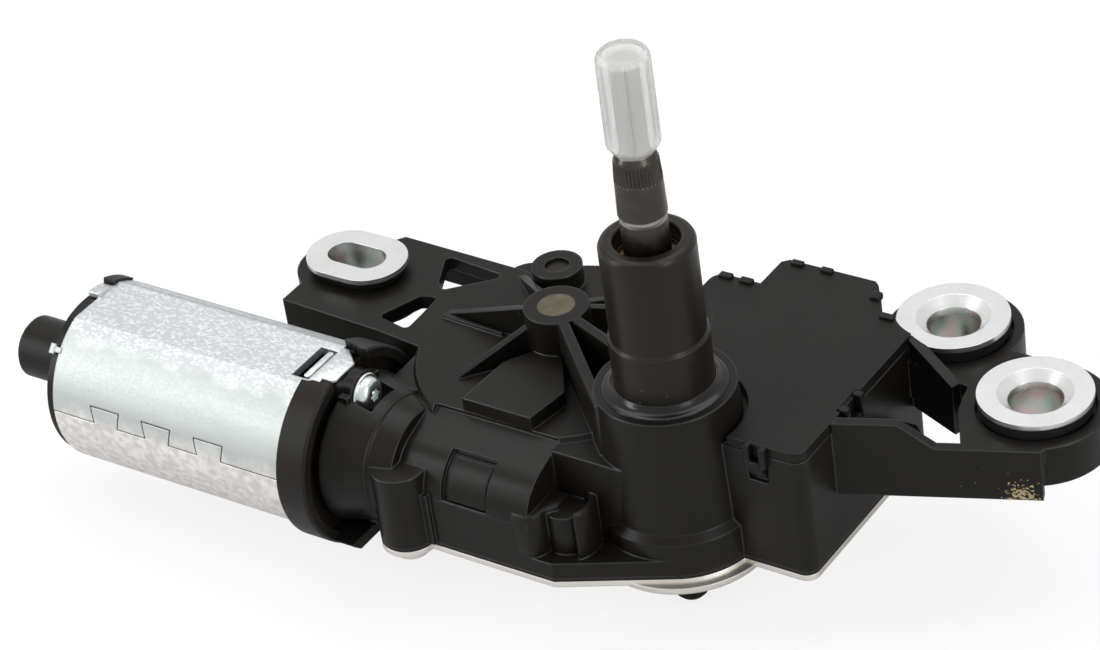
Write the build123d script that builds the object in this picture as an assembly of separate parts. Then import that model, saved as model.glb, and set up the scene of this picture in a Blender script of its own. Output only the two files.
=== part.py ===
"""Rear wiper motor: d.c. motor, worm drive and crank linkage in one housing.

Frame: millimetres, +Z up along the output shaft, +X from the motor's rear end towards the
twin mounting arms. The origin lies on the shaft's axis, level with the collar's top face.
"""
from build123d import *
from math import acos, atan2, ceil, cos, degrees, hypot, pi, radians, sin, tan
import os

os.makedirs("parts", exist_ok=True)

# ---------------------------------------------------------------- driving dimensions
# levels above the collar
base_z = -37.5              # parting plane between the housing and its metal cover
plate_z = -12.3             # top of the gear dome, the bracket and the arms
lid_z = -6.5                # top of the electronics lid
wall = 2.4                  # moulded wall
rib = 1.7                   # moulded rib
running = 0.05              # radial clearance of a shaft in its bush
seat = 0.02                 # clearance of a piece pressed or dropped into its seat
clear = 0.6                 # free space round a moving piece

# output shaft and its tower
shaft_r = 5.0
shaft_tail = 4.5            # end below the parting plane
groove_rise = 5.5           # groove above the tower's mouth
knurl_rise = 14.5           # knurled cone, lower edge above the mouth
knurl_len = 4.8
shoulder_len = 1.8
thread_r = 3.9
shaft_rise = 41.5           # thread's end above the mouth
tower_top = 36.5
tower_step_z = 13.0         # the sleeve is wider below this
tower_step = 0.5
bush_wall = 1.6             # sintered bushes
bush_len = 12.0
bush_drop = 2.0             # lower bush's top, below the collar
neck_wall = 1.6             # housing neck round the bushes
jacket_wall = 2.0           # moulded sleeve round the neck
mouth_gap = 2.0             # sleeve's mouth round the shaft
mouth_depth = 4.0
ring_wire_r = 0.8           # O-ring at the tower's foot
collar_ledge = 4.5          # collar's top outside the tower's foot
collar_drop = 28.0          # drafted column, from the collar to the skirt
collar_draft = 1.0
skirt_step = 1.6
cap_wall = 1.8
cap_flutes = 10

# worm wheel, crank and toothed rod
wheel_x = -37.6
wheel_y = 15.5
wheel_pin_r = 4.1           # pin in the dome's boss
axle_r = 3.2                # its turned-down end in the wheel
wheel_teeth = 60
worm_pitch_r = 4.6
wheel_width = 7.0
wheel_gap = 1.2             # wheel's tips to the chamber's wall
worm_half = 7.5             # half the worm's length
worm_bore_r = 6.4
wipe_angle = 110.0          # swing of the output shaft, degrees
gear_module = 1.0
pinion_teeth = 14
sector_teeth = 21
rod_thick = 3.0
link_thick = 1.8
crank_pin_r = 2.1
pivot_r = 2.6
pinion_wall = 5.4           # free space round the pinion, below the column

# motor
motor_y = -17.5
motor_z = -25.4
yoke_r = 20.7
yoke_flatten = 1.5          # each flat lies this much inside the round
yoke_wall = 2.0
yoke_front = -77.3
yoke_len = 64.7
seam_rise = (2.0, 5.9)      # dovetailed seam's two lines above the motor's axis
rear_boss_r = 7.3
rear_boss_len = 23.0
rear_flange = 5.0           # cap's dished part behind the can
ring_len = 7.3              # brush holder's rim
ring_lip = 1.7              # rim outside the can
motor_shaft_r = 2.5
magnet_thick = 3.5
air_gap = 1.0
commutator_r = 8.0
motor_bush_wall = 2.5
motor_bush_len = 10.0
motor_screw_r = 2.0
screw_inset = 5.7           # motor screws inside the can's radius
tube_r = 10.0               # worm tube, outside
tube_x1 = -20.5             # its front end
neck_x = -58.0              # the motor's neck ends here
neck_r1 = 12.6

# electronics box
box_x0, box_x1 = -17.0, 34.0
box_y0, box_y1 = -3.8, 47.5
box_round = 3.0
lid_thick = 2.5
tray_z = -24.0              # tray's floor
plug_len = 10.3             # connector shroud behind the box
plug_wall = 1.8
plug_x0, plug_x1 = -5.5, 18.5
plug_flare = 6.0            # its right side leans out to the box by this
pin_count = 4
pin_pitch = 4.5
board_thick = 1.6

# cover, gasket and fastening
cover_flange = 1.4          # metal cover's flat rim
gasket_thick = 0.8
bulge_depth = 6.6           # cover's bulge under the shaft
plug_r = 3.65               # rubber plug under it
cover_screw_r = 2.0
screw_depth = 5.0
screw_boss_r = 6.4
flange_thick = 4.0          # housing's foot flange
side_y = -27.6              # straight side beside the worm tube
side_x0, side_x1 = -57.0, -15.6
pocket_x0 = -24.0           # open pocket between the tube and the column
pocket_y = -15.5            # its rear wall
pocket_boss = (-16.0, -19.4)
pocket_boss_r = 4.5
shelf_z = -13.4             # plate between the dome and the column
boss_r = 7.3                # wheel pin's boss
boss_top = -0.5
pad_rise = 3.3              # raised pad over the worm, above the dome
vent_at = (-52.6, 37.2)     # breather
vent_r = 5.8
vent_rise = 4.7

# mounting eyes: centre, in plan
left_eye = (-98.9, 23.8)
front_eye = (65.8, 38.4)
rear_eye = (37.4, 55.8)
washer_z = -8.8             # top of the sleeves
washer_thick = 1.2
sleeve_r = 5.5              # sleeve's bore, round eyes
long_sleeve_r = 4.0         # the same, slotted eye
slot_half = 3.4             # half the slot's straight length
sleeve_wall = 1.4
dish = 2.6                  # the flange turns down into the bore over this width
dish_depth = 2.4
flange_width = 6.8          # flange outside the bore, round eyes
long_flange_width = 5.0
rubber_wall = 1.9           # grommet round the sleeve
eye_plate = 3.4             # moulded plate that carries the grommets
eye_recess = 2.2            # the round eyes' plate lies this much lower
eye_below = 3.6             # grommet's lower flange
arm_root = 8.7              # right arm's front wall meets the box here, along Y
arm_lean = 20.9             # and leaves it at this angle
arm_z = -24.7               # its lower edge

# ---------------------------------------------------------------- worked-out sizes
bush_r = shaft_r + bush_wall
neck_r = bush_r + neck_wall
tower_r = neck_r + jacket_wall
tower_foot_r = tower_r + tower_step
opening_r = shaft_r + mouth_gap
collar_r = tower_foot_r + collar_ledge
column_r = collar_r + collar_draft
skirt_r = column_r + skirt_step
shaft_bottom = base_z - shaft_tail
groove_z = tower_top + groove_rise
knurl_z = tower_top + knurl_rise
knurl_top = knurl_z + knurl_len
shaft_top = tower_top + shaft_rise
cap_z0 = knurl_top + shoulder_len + 1.0
cap_top = shaft_top + 3.0
cap_r = thread_r + cap_wall
bush_low_top = -bush_drop
bush_high_z = tower_top - mouth_depth - 1.0 - bush_len

wheel_pitch_r = wheel_y - motor_y - worm_pitch_r
wheel_module = 2 * wheel_pitch_r / wheel_teeth
wheel_tip_r = wheel_pitch_r + 0.8 * wheel_module
chamber_r = wheel_tip_r + wheel_gap
dome_r = chamber_r + wall + 0.4
chamber_top = plate_z - wall
pinion_r = gear_module * pinion_teeth / 2
sector_r = gear_module * sector_teeth / 2
link_len = pinion_r + sector_r
link_swing = wipe_angle / (1 + sector_r / pinion_r)
crank_r = link_len * sin(radians(link_swing / 2))
wheel_z = motor_z - wheel_width / 2                       # wheel's lower face
rod_z = wheel_z - 0.8 - rod_thick                         # rod's lower face
link_z = rod_z - 0.3 - link_thick
mech_top = rod_z + rod_thick + 0.6                        # ceiling of the linkage chamber
column_bore_r = pinion_r + pinion_wall
worm_x0, worm_x1 = wheel_x - worm_half, wheel_x + worm_half
wheel_dist = hypot(wheel_x, wheel_y)
wheel_dir = degrees(atan2(wheel_y, wheel_x))
link_mid = wheel_dir - degrees(acos(link_len / wheel_dist))   # rod square to the link here
link_rest = link_mid + link_swing / 2
pivot = (link_len * cos(radians(link_rest)), link_len * sin(radians(link_rest)))
rod_dir = link_mid - 90
crank = (wheel_x - crank_r * cos(radians(rod_dir)), wheel_y - crank_r * sin(radians(rod_dir)))
rod_len = hypot(pivot[0] - crank[0], pivot[1] - crank[1])
link_x1 = pivot[0] + 2 * link_len * sin(radians(link_swing / 2)) + 8.5
link_y1 = link_len + 8.0
mesh_phase = 0.5                                          # of a tooth, worm wheel

yoke_flat = yoke_r - yoke_flatten
yoke_rear = yoke_front - yoke_len
can_r = yoke_r - yoke_wall                                # inside the can
can_flat = yoke_flat - yoke_wall
can_top = motor_z + yoke_flat
rear_boss_end = yoke_rear - rear_boss_len
ring_front = yoke_front + ring_len
ring_r = yoke_r + ring_lip
magnet_r = can_r - magnet_thick
core_r = magnet_r - air_gap
core_x0, core_x1 = yoke_rear + 14.0, yoke_front - 16.7
motor_bush_r = motor_shaft_r + motor_bush_wall
rear_bush_x = rear_boss_end + 7.0
screw_out = yoke_r - screw_inset                          # motor screws, from the motor's axis
flange_x = ring_front + 2.6                               # screw lugs end here
neck_r0 = screw_out + 2.0
shaft_tip_x = tube_x1 - wall - 0.8                        # armature shaft's front end

plug_y1 = box_y1 + plug_len
cover_top = base_z - gasket_thick
cover_under = cover_top - cover_flange
cover_bosses = [(-53.5, -26.8), (-65.0, 43.0), (-12.0, 43.0), (27.0, 40.5), (27.5, 4.0), pocket_boss]
vent_top = plate_z + vent_rise

washer_r = sleeve_r + flange_width
long_washer_r = long_sleeve_r + long_flange_width
eye_hole_r = sleeve_r + sleeve_wall + rubber_wall
long_hole_r = long_sleeve_r + sleeve_wall + rubber_wall - 0.3
eye_free_r = washer_r + 0.4


def save(shape, name):
    """Write one sub-part's solids to its STEP file."""
    solids = shape.solids()
    body = solids[0] if len(solids) == 1 else Compound(children=list(solids))
    body.label = name
    export_step(body, f"parts/{name}.step")


def rod_z_cyl(x, y, r, z0, z1):
    """Upright cylinder between two levels."""
    return Pos(x, y, z0) * Cylinder(r, z1 - z0, align=(Align.CENTER, Align.CENTER, Align.MIN))


def along_x(r, x0, x1, y=motor_y, z=motor_z):
    """Cylinder along the motor's direction, on its axis unless told otherwise."""
    lying = Rotation(0, 90, 0) * Cylinder(r, x1 - x0, align=(Align.CENTER, Align.CENTER, Align.MIN))
    return Pos(x0, y, z) * lying


def block(x0, x1, y0, y1, z0, z1):
    """Box between two corners."""
    return Pos(x0, y0, z0) * Box(x1 - x0, y1 - y0, z1 - z0, align=(Align.MIN, Align.MIN, Align.MIN))


def prism(points, z0, z1):
    """Upright prism on a closed outline of straight runs."""
    return Pos(0, 0, z0) * extrude(make_face(Polyline(*points, close=True)), z1 - z0)


def rounded_box(x0, x1, y0, y1, z0, z1, r):
    """Upright box with rounded corners."""
    face = Pos((x0 + x1) / 2, (y0 + y1) / 2, z0) * RectangleRounded(x1 - x0, y1 - y0, r)
    return extrude(face, z1 - z0)


def web(p0, p1, z_low, z0, z1, thick=rib):
    """Upright rib from p0 to p1 whose top runs from level z0 to level z1."""
    length = hypot(p1[0] - p0[0], p1[1] - p0[1])
    turn = degrees(atan2(p1[1] - p0[1], p1[0] - p0[0]))
    side = make_face(Polyline((0, z_low), (length, z_low), (length, z1), (0, z0), close=True))
    flat = extrude(Plane.XZ * side, thick / 2, both=True)
    return Pos(p0[0], p0[1], 0) * Rotation(0, 0, turn) * flat


def ring_z(x, y, r_out, r_in, z0, z1):
    """Upright ring between two levels."""
    return rod_z_cyl(x, y, r_out, z0, z1) - rod_z_cyl(x, y, r_in, z0 - 1, z1 + 1)


def stadium(x, y, half, r, z0, z1):
    """Upright bar with round ends, long along X."""
    face = Pos(x, y, z0) * SlotCenterToCenter(2 * half, 2 * r)
    return extrude(face, z1 - z0)


def wedge_x(r_in, r_out, x0, x1, a0, a1):
    """Piece of a ring round the motor's axis, between two angles from +Y towards +Z."""
    reach = 2 * r_out
    steps = [a0 + (a1 - a0) * i / 4 for i in range(5)]
    rim = [(reach * cos(radians(a)), reach * sin(radians(a))) for a in steps]
    fan = Plane.YZ * make_face(Polyline((0, 0), *rim, close=True))
    fan = Pos(x0, motor_y, motor_z) * extrude(fan, x1 - x0)
    return (along_x(r_out, x0, x1) - along_x(r_in, x0 - 1, x1 + 1)) & fan


def window(points, z0, z1, r):
    """Upright prism with rounded corners."""
    face = make_face(Polyline(*points, close=True))
    return Pos(0, 0, z0) * extrude(fillet(face.vertices(), r), z1 - z0)


def toothed(pitch_r, module, teeth, first, count, thick, tip=0.8, root=1.1, half=0.23):
    """Face of a gear: count of its teeth, the first at angle first; half is a tooth's half width in pitches."""
    step = 360 / teeth
    outer, inner = pitch_r + tip * module, pitch_r - root * module
    points = []
    for i in range(count):
        mid = first + i * step
        for r, share in ((inner, -1.45), (outer, -0.55), (outer, 0.55), (inner, 1.45)):
            angle = radians(mid + share * half * step)
            points.append((r * cos(angle), r * sin(angle)))
    if count < teeth:
        points.append((0, 0))
    return extrude(make_face(Polyline(*points, close=True)), thick)


# ---------------------------------------------------------------- gear housing
def dome_rim(angle, r=dome_r - wall / 2):
    """A point on the dome's wall, at an angle round the wheel's axis."""
    return (wheel_x + r * cos(radians(angle)), wheel_y + r * sin(radians(angle)))


def base_outline():
    """Plan of the parting face, as one flat face."""
    dome = Pos(wheel_x, wheel_y) * Circle(dome_r)
    box = Pos((box_x0 + box_x1) / 2, (box_y0 + box_y1) / 2) * RectangleRounded(
        box_x1 - box_x0, box_y1 - box_y0, box_round)
    side = make_face(Polyline(
        (side_x0, wheel_y), (side_x0, side_y), (side_x1, side_y),
        (skirt_r * sin(radians(25)), -skirt_r * cos(radians(25))), (0, wheel_y), close=True))
    face = dome + box + Circle(skirt_r) + side
    for x, y in cover_bosses[:2]:
        face += Pos(x, y) * Circle(screw_boss_r)
    return face


def turned(points, flat=None):
    """Solid turned round the motor's axis; points are (along X, radius). flat trims it top and bottom."""
    solid = revolve(Plane.XZ * make_face(Polyline(*points, close=True)), Axis.X)
    solid = Pos(0, motor_y, motor_z) * solid
    if flat is None:
        return solid
    return solid & block(-400, 400, -200, 200, motor_z - flat, motor_z + flat)


def upright(points):
    """Solid turned round the output shaft; points are (radius, level)."""
    return revolve(Plane.XZ * make_face(Polyline(*points, close=True)), Axis.Z)


def gear_housing():
    body = extrude(Pos(0, 0, base_z) * base_outline(), flange_thick)
    dome = rod_z_cyl(wheel_x, wheel_y, dome_r, base_z, plate_z)
    body += dome.chamfer(0.8, None, dome.edges().group_by(Axis.Z)[-1])
    body += rounded_box(box_x0, box_x1, box_y0, box_y1, base_z, lid_z - lid_thick, box_round)
    body += upright([(0, base_z), (skirt_r, base_z), (skirt_r, -collar_drop - 1.6),
                     (column_r, -collar_drop), (collar_r, 0), (0, 0)])
    body += worm_side()
    body += rod_z_cyl(*cover_bosses[0], screw_boss_r, base_z, motor_z + 6)
    body += rod_z_cyl(*cover_bosses[1], screw_boss_r, base_z, plate_z - 6)
    body += motor_neck()

    # plate between the dome and the column, with the pocket in front of it
    body += block(wheel_x + 20, 0, -4, 20, base_z, plate_z - 5)
    body += prism([(wheel_x - 8, pocket_y + 1), (pocket_x0 - 3, pocket_y), (-2, pocket_y), (-2, 0),
                   (wheel_x - 8, 0)], base_z, shelf_z)
    body += rod_z_cyl(*pocket_boss, pocket_boss_r, base_z, motor_z + 1.4)

    # worm bore, linkage chamber, shaft bore
    body -= along_x(worm_bore_r, ring_front - 1, tube_x1 - wall)
    body -= along_x(motor_bush_r + seat, ring_front - 1, neck_x - 2)
    body -= rounded_box(crank[0] - 8, link_x1, -2, link_y1, base_z - 1, mech_top, 4.0)
    body -= rod_z_cyl(0, 0, column_bore_r, base_z - 1, mech_top)
    body -= rod_z_cyl(0, 0, bush_r + seat, base_z - 1, 1)

    # tower neck with the bush seats, and the ring's groove at its foot
    body += ring_z(0, 0, neck_r, bush_r + seat, -bush_drop, tower_top - mouth_depth)
    body += ring_z(0, 0, bush_r + 0.4, shaft_r + 0.6, bush_low_top, bush_high_z)
    body -= ring_z(0, 0, tower_foot_r + 2 * ring_wire_r, tower_foot_r - 0.2, -2 * ring_wire_r, 1)

    body += dome_top()
    body += left_bracket()
    body += right_arms()
    body -= rod_z_cyl(wheel_x, wheel_y, chamber_r, base_z - 1, chamber_top)
    body -= rod_z_cyl(wheel_x, wheel_y, wheel_pin_r + seat, chamber_top - 9, boss_top + 1)
    body -= rod_z_cyl(*vent_at, vent_r - 3 + seat, vent_top - 2.4, vent_top + 1)
    body -= tray_space()
    body -= lid_space()
    body -= rod_z_cyl(*rear_eye, eye_free_r, plate_z - eye_recess, 0)
    body -= rod_z_cyl(*rear_eye, eye_free_r, plate_z - eye_recess - eye_plate - eye_below - 0.6,
                      plate_z - eye_recess - eye_plate)
    body -= block(flange_x + 1, 80, side_y - 20, 80, base_z - 20, base_z)
    body -= along_x(ring_r + clear, yoke_front - 8, ring_front)
    body += connector_shroud()
    body -= block(plug_x0 + plug_wall, plug_x1 - plug_wall, box_y1 - wall - 1, box_y1 + 1, tray_z + plug_wall,
                  lid_z - lid_thick + 1)
    body -= front_clip(0) + right_clip(0)

    # blind holes for the cover's screws and the motor's
    for x, y in cover_bosses:
        body -= rod_z_cyl(x, y, cover_screw_r, base_z - 1, base_z + screw_depth)
    for sign in (1, -1):
        body -= along_x(motor_screw_r + seat, ring_front - 1, flange_x + 1, z=motor_z + sign * screw_out)
        body -= along_x(4.6, flange_x, flange_x + 5, z=motor_z + sign * screw_out)
    return body


def worm_side():
    """The worm's tube with its window, and the foot under it."""
    tube = along_x(tube_r, neck_x, tube_x1)
    tube -= wedge_x(tube_r - 1.0, tube_r + 0.5, -42.6, -31.0, 106, 178)
    tube += wedge_x(tube_r - 1.5, tube_r - 0.2, -40.8, -31.4, 116, 175)
    tube += block(side_x0, pocket_x0, side_y, wheel_y - chamber_r + 6, base_z, motor_z)
    tube += block(-47.6, -45.8, side_y - 1.0, side_y + 0.6, base_z, motor_z + 1)
    return tube + block(flange_x, -46.0, -9.5, 3.0, motor_z, plate_z - 0.7)


def motor_neck():
    """Bell that carries the motor's end shield, with two screw lugs."""
    neck = turned([(ring_front, 0), (ring_front, neck_r0), (neck_x + 4, neck_r1), (neck_x + 4, 0)])
    neck += flatted(ring_r - 3.0, ring_front, flange_x, 17.0) & block(
        ring_front, flange_x, motor_y - 6.0, motor_y + 6.0, motor_z - 22, motor_z + 22)
    for sign in (1, -1):
        neck += along_x(5.0, ring_front, flange_x, z=motor_z + sign * screw_out)
    return neck


def dome_top():
    """Pin boss with its ribs, the breather's seat and the pad over the worm."""
    centre = (wheel_x, wheel_y)
    top = Part()
    for angle in (176.5, 139.9, 70, 52):
        top += web(centre, dome_rim(angle), chamber_top + 0.5, boss_top, plate_z)
    top += web(centre, dome_rim(-130.9, 24.7), chamber_top + 0.5, boss_top, plate_z)
    for end in ((-8.7, -11.9), (-14.0, 7.0)):
        top += web(centre, end, shelf_z - 2, boss_top, -0.6)
    top += prism([(-45.0, -12.2), (-27.3, -12.3), (-25.6, -1.4), (-33.0, 9.0), (-40.0, 9.0), (-44.1, 2.5)],
                 motor_z + worm_bore_r - 1, plate_z + pad_rise)
    top -= rod_z_cyl(wheel_x, wheel_y, boss_r - 0.3, -30, 5)
    top -= rod_z_cyl(0, 0, neck_r + 1, -40, 5)
    top &= block(-200, 200, -200, 200, -60, 0)
    top += rod_z_cyl(wheel_x, wheel_y, boss_r, wheel_z + wheel_width + 0.4, boss_top)
    return top + rod_z_cyl(*vent_at, vent_r, plate_z - 1, vent_top)


def tray_space():
    """The electronics compartment, clear of the column and of the rear eye."""
    tray = rounded_box(box_x0 + wall, box_x1 - wall, box_y0 + wall, box_y1 - wall, tray_z, 0, 1.5)
    tray -= rod_z_cyl(0, 0, column_r + wall, tray_z - 1, 1)
    return tray - rod_z_cyl(*rear_eye, eye_free_r + wall, tray_z - 1, 1)


def lid_space():
    """Room for the lid on top of the electronics box."""
    space = rounded_box(box_x0, box_x1, box_y0, box_y1, lid_z - lid_thick, lid_z + 3, box_round)
    return space - rod_z_cyl(0, 0, column_r + 0.4, -20, 5) - rod_z_cyl(wheel_x, wheel_y, dome_r, -20, 5)


def connector_shroud():
    """Open socket behind the box; its right side leans out to the box."""
    shroud = prism([(plug_x0, box_y1 - wall), (plug_x0, plug_y1), (plug_x1, plug_y1),
                    (plug_x1 + plug_flare, box_y1 + 0.6), (plug_x1 + plug_flare, box_y1 - wall)],
                   tray_z, lid_z - lid_thick)
    return shroud - block(plug_x0 + plug_wall, plug_x1 - plug_wall, box_y1 - wall - 1, plug_y1 + 1,
                          tray_z + plug_wall, lid_z - lid_thick + 1)


def front_clip(gap):
    """Recess of the front snap clip, gap inside its outline."""
    return block(20.9 + gap, 25.7 - gap, box_y0 - 1, box_y0 + 1.2, -16.0 + gap, lid_z - 0.7)


def right_clip(gap):
    """Recess of the right-hand snap clip, gap inside its outline."""
    return block(box_x1 - 1.2, box_x1 + 1, 13.0 + gap, 21.5 - gap, -14.0 + gap, lid_z + 1)


def left_bracket():
    """Ribbed plate with two windows and the slotted eye."""
    z0, z1 = plate_z - eye_plate, plate_z
    skirt_z = plate_z - 7.5
    x, y = left_eye
    inside = wheel_x - 24
    outline = [(x - 9.1, y - 17.4), (x - 9.1, y), (x + 2.7, y + 14.9), (inside, y + 14.1),
               (inside, y - 21.0), (x + 18.5, y - 18.7)]
    plate = prism(outline, skirt_z, z1)
    plate -= prism([(x - 6.8, y - 15.2), (x - 6.8, y), (x + 4.0, y + 12.5), (inside, y + 11.7),
                    (inside, y - 18.6), (x + 18.5, y - 16.3)], skirt_z - 1, z0)
    plate -= window([(x + 16.1, y + 12.1), (x + 33.9, y + 10.6), (x + 23.1, y + 0.2), (x + 20.6, y + 2.4)],
                    skirt_z - 1, z1 + 1, 1.2)
    plate -= window([(x + 15.5, y - 14.1), (x + 24.5, y - 15.8), (x + 24.0, y - 2.3), (x + 19.8, y - 3.9)],
                    skirt_z - 1, z1 + 1, 1.2)
    plate += stadium(x, y, slot_half, long_hole_r + 4.6, skirt_z, z1)
    plate -= stadium(x, y, slot_half, long_hole_r, skirt_z - 1, z1 + 1)
    plate -= stadium(x, y, slot_half, long_hole_r + 2.6, skirt_z - 1, z0)
    return plate - rod_z_cyl(wheel_x, wheel_y, dome_r - 1, -60, 5)


def arm_line(x):
    """Y of the front wall's face at x."""
    return arm_root + (x - box_x1) * tan(radians(arm_lean))


def right_arms():
    """Two round eyes on one ribbed bracket, with an open well beside the box."""
    z0, z1 = plate_z - eye_plate, plate_z
    inside = box_x1 - 1
    fx, fy = front_eye
    rx, ry = rear_eye
    tip = fx + 8.0
    root = box_x1 + 12.5
    plate = prism([(inside, arm_line(inside)), (tip, arm_line(tip)), (fx + 12, fy - 4), (fx + 4, fy + 14),
                   (rx + 15, ry - 2), (rx, ry + 10), (inside, ry - 8)], z0, z1)
    plate -= prism([(box_x1 - 2, arm_line(box_x1 - 2)), (fx - 7, arm_line(fx - 7)), (fx - 14, fy - 8), (fx - 16, fy),
                    (box_x1 - 2, ry - 14)], z0 - 1, z1 + 1)
    plate += prism([(inside, arm_line(inside) + 0.5), (root + 7, arm_line(root + 7) + 0.5), (root + 4, fy - 10),
                    (root - 1, fy - 10), (box_x1 + 5, fy - 4), (inside, fy - 4)], arm_z, arm_z + rib)
    for x, y, r in ((fx, fy, 15.6), (rx, ry, 15.0)):
        plate += rod_z_cyl(x, y, r, arm_z + 3, z1)
    front = web((inside, arm_line(inside)), (tip, arm_line(tip)), arm_z, z1, z1, wall)
    front += web((inside, arm_line(inside)), (root, arm_line(root)), z1 - 2, lid_z, lid_z, wall)
    front += web((root, arm_line(root)), (root + 7, arm_line(root + 7)), z1 - 2, lid_z, z1, wall)
    plate += Pos(0, wall / 2, 0) * front
    plate += web((inside, ry - 12), (rx + 10, ry - 18), arm_z, lid_z, z1, wall)
    plate += web((root - 5, arm_line(root - 5) + 1), (root - 8, arm_line(root) + 7), arm_z + 1, z1, arm_z + 3)
    for x, y in (front_eye, rear_eye):
        plate -= rod_z_cyl(x, y, eye_hole_r, arm_z - 1, z1 + 1)
        plate -= rod_z_cyl(x, y, eye_free_r, z1 - eye_recess, z1 + 8)
        plate -= rod_z_cyl(x, y, eye_free_r, arm_z - 1, z1 - eye_recess - eye_plate)
    return plate


# ---------------------------------------------------------------- cover, lid and electronics
def cover_plate():
    plate = extrude(Pos(0, 0, cover_under) * base_outline(), cover_flange)
    plate += upright([(0, cover_under), (15.4, cover_under), (12.8, cover_under - bulge_depth),
                      (0, cover_under - bulge_depth)])
    plate += Pos(wheel_x, wheel_y, cover_under) * (Rotation(180, 0, 0) * Cone(
        9.0, 7.0, 2.4, align=(Align.CENTER, Align.CENTER, Align.MIN)))
    plate -= rod_z_cyl(0, 0, 11.0, cover_under - bulge_depth + 1.6, cover_top + 1)
    plate -= rod_z_cyl(0, 0, plug_r + seat, -80, cover_top)
    for x, y in cover_bosses:
        plate -= rod_z_cyl(x, y, cover_screw_r + 0.3, -80, cover_top + 1)
    return plate


def cover_gasket():
    seal = extrude(Pos(0, 0, cover_top + seat) * base_outline(), gasket_thick - 2 * seat)
    seal -= rod_z_cyl(wheel_x, wheel_y, chamber_r, -80, 0)
    seal -= rounded_box(crank[0] - 8, link_x1, -2, link_y1, -80, 0, 4.0)
    seal -= rod_z_cyl(0, 0, column_bore_r, -80, 0)
    seal -= rounded_box(box_x0 + 9, box_x1 - 9, box_y0 + 9, box_y1 - 9, -80, 0, 3)
    for x, y in cover_bosses:
        seal -= rod_z_cyl(x, y, cover_screw_r + 0.3, -80, 0)
    return seal


def cover_screws():
    screws = Part()
    for x, y in cover_bosses:
        screws += rod_z_cyl(x, y, cover_screw_r - seat, cover_under - 1, base_z + screw_depth - 0.5)
        screws += rod_z_cyl(x, y, 3.8, cover_under - 2.6, cover_under - seat)
    return screws


def electronics_lid():
    gap = 0.15
    under = lid_z - lid_thick
    x0, x1, y0, y1 = box_x0 + gap, box_x1 - gap, box_y0 + gap, box_y1 - gap
    lid = rounded_box(x0, x1, y0, y1, under + seat, lid_z, box_round)
    lid += prism([(plug_x0, box_y1 - 2), (plug_x0, plug_y1 - 1.4), (plug_x0 + 1.4, plug_y1), (plug_x1 - 1, plug_y1),
                  (plug_x1 + 0.4, plug_y1 - 1.2), (plug_x1 + plug_flare, box_y1 + 0.6),
                  (plug_x1 + plug_flare + 3, box_y1 - 2)], under + seat, lid_z)
    lid += rounded_box(box_x0 + wall + gap, box_x1 - wall - gap, box_y0 + wall + gap, box_y1 - wall - gap,
                       under - 2, lid_z - 1, 1.2)
    lid -= rounded_box(box_x0 + 2 * wall, box_x1 - 2 * wall, box_y0 + 2 * wall, box_y1 - 2 * wall,
                       under - 3, under, 1.2)
    lid -= rod_z_cyl(0, 0, column_r + wall + gap, -40, under + seat)
    lid -= rod_z_cyl(0, 0, column_r + 0.4 + gap, -40, 5)
    lid -= rod_z_cyl(*rear_eye, eye_free_r + wall + gap, -40, under + seat)
    lid -= rod_z_cyl(*rear_eye, eye_free_r, -40, 5)
    lid -= rod_z_cyl(wheel_x, wheel_y, dome_r + gap, -40, 5)
    lid -= block(plug_x0 + plug_wall, plug_x1 - plug_wall, box_y1 - 2 * wall - 1, plug_y1 + 1, -20, under)
    lid -= front_clip(0) + right_clip(0)
    lid += block(21.9, 24.7, box_y0 + 0.5, box_y0 + 1.08, -15.0, under + 0.5)
    lid += block(21.9, 24.7, box_y0 + 0.5, box_y0 + 3.0, under + seat, lid_z - 0.5)
    lid += block(box_x1 - 1.08, box_x1 - 0.5, 14.6, 19.9, -13.0, under + 0.5)
    return lid + block(box_x1 - 3.0, box_x1 - 0.5, 14.6, 19.9, under + seat, lid_z - 0.5)


def circuit_board():
    z = tray_z + 3.0
    board = block(box_x0 + wall + 0.6, box_x1 - wall - 0.6, column_r + wall + 2, box_y1 - wall - 0.6,
                  z, z + board_thick)
    return board - rod_z_cyl(*rear_eye, eye_free_r + wall + 0.6, z - 1, z + 3)


def connector_pins():
    z = tray_z + 7.5
    pins = Part()
    for i in range(pin_count):
        x = (plug_x0 + plug_x1) / 2 + (i - (pin_count - 1) / 2) * pin_pitch
        pins += block(x - 0.6, x + 0.6, box_y1 - 8, plug_y1 - 2.5, z, z + 0.8)
        pins += block(x - 0.6, x + 0.6, box_y1 - 8, box_y1 - 7.2, tray_z + 3.0 + board_thick, z)
    return pins


# ---------------------------------------------------------------- motor
def flatted(r, x0, x1, flat=yoke_flat):
    """Round bar along X with its top and bottom flattened."""
    return along_x(r, x0, x1) & block(
        x0 - 1, x1 + 1, motor_y - r - 1, motor_y + r + 1, motor_z - flat, motor_z + flat)


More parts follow.
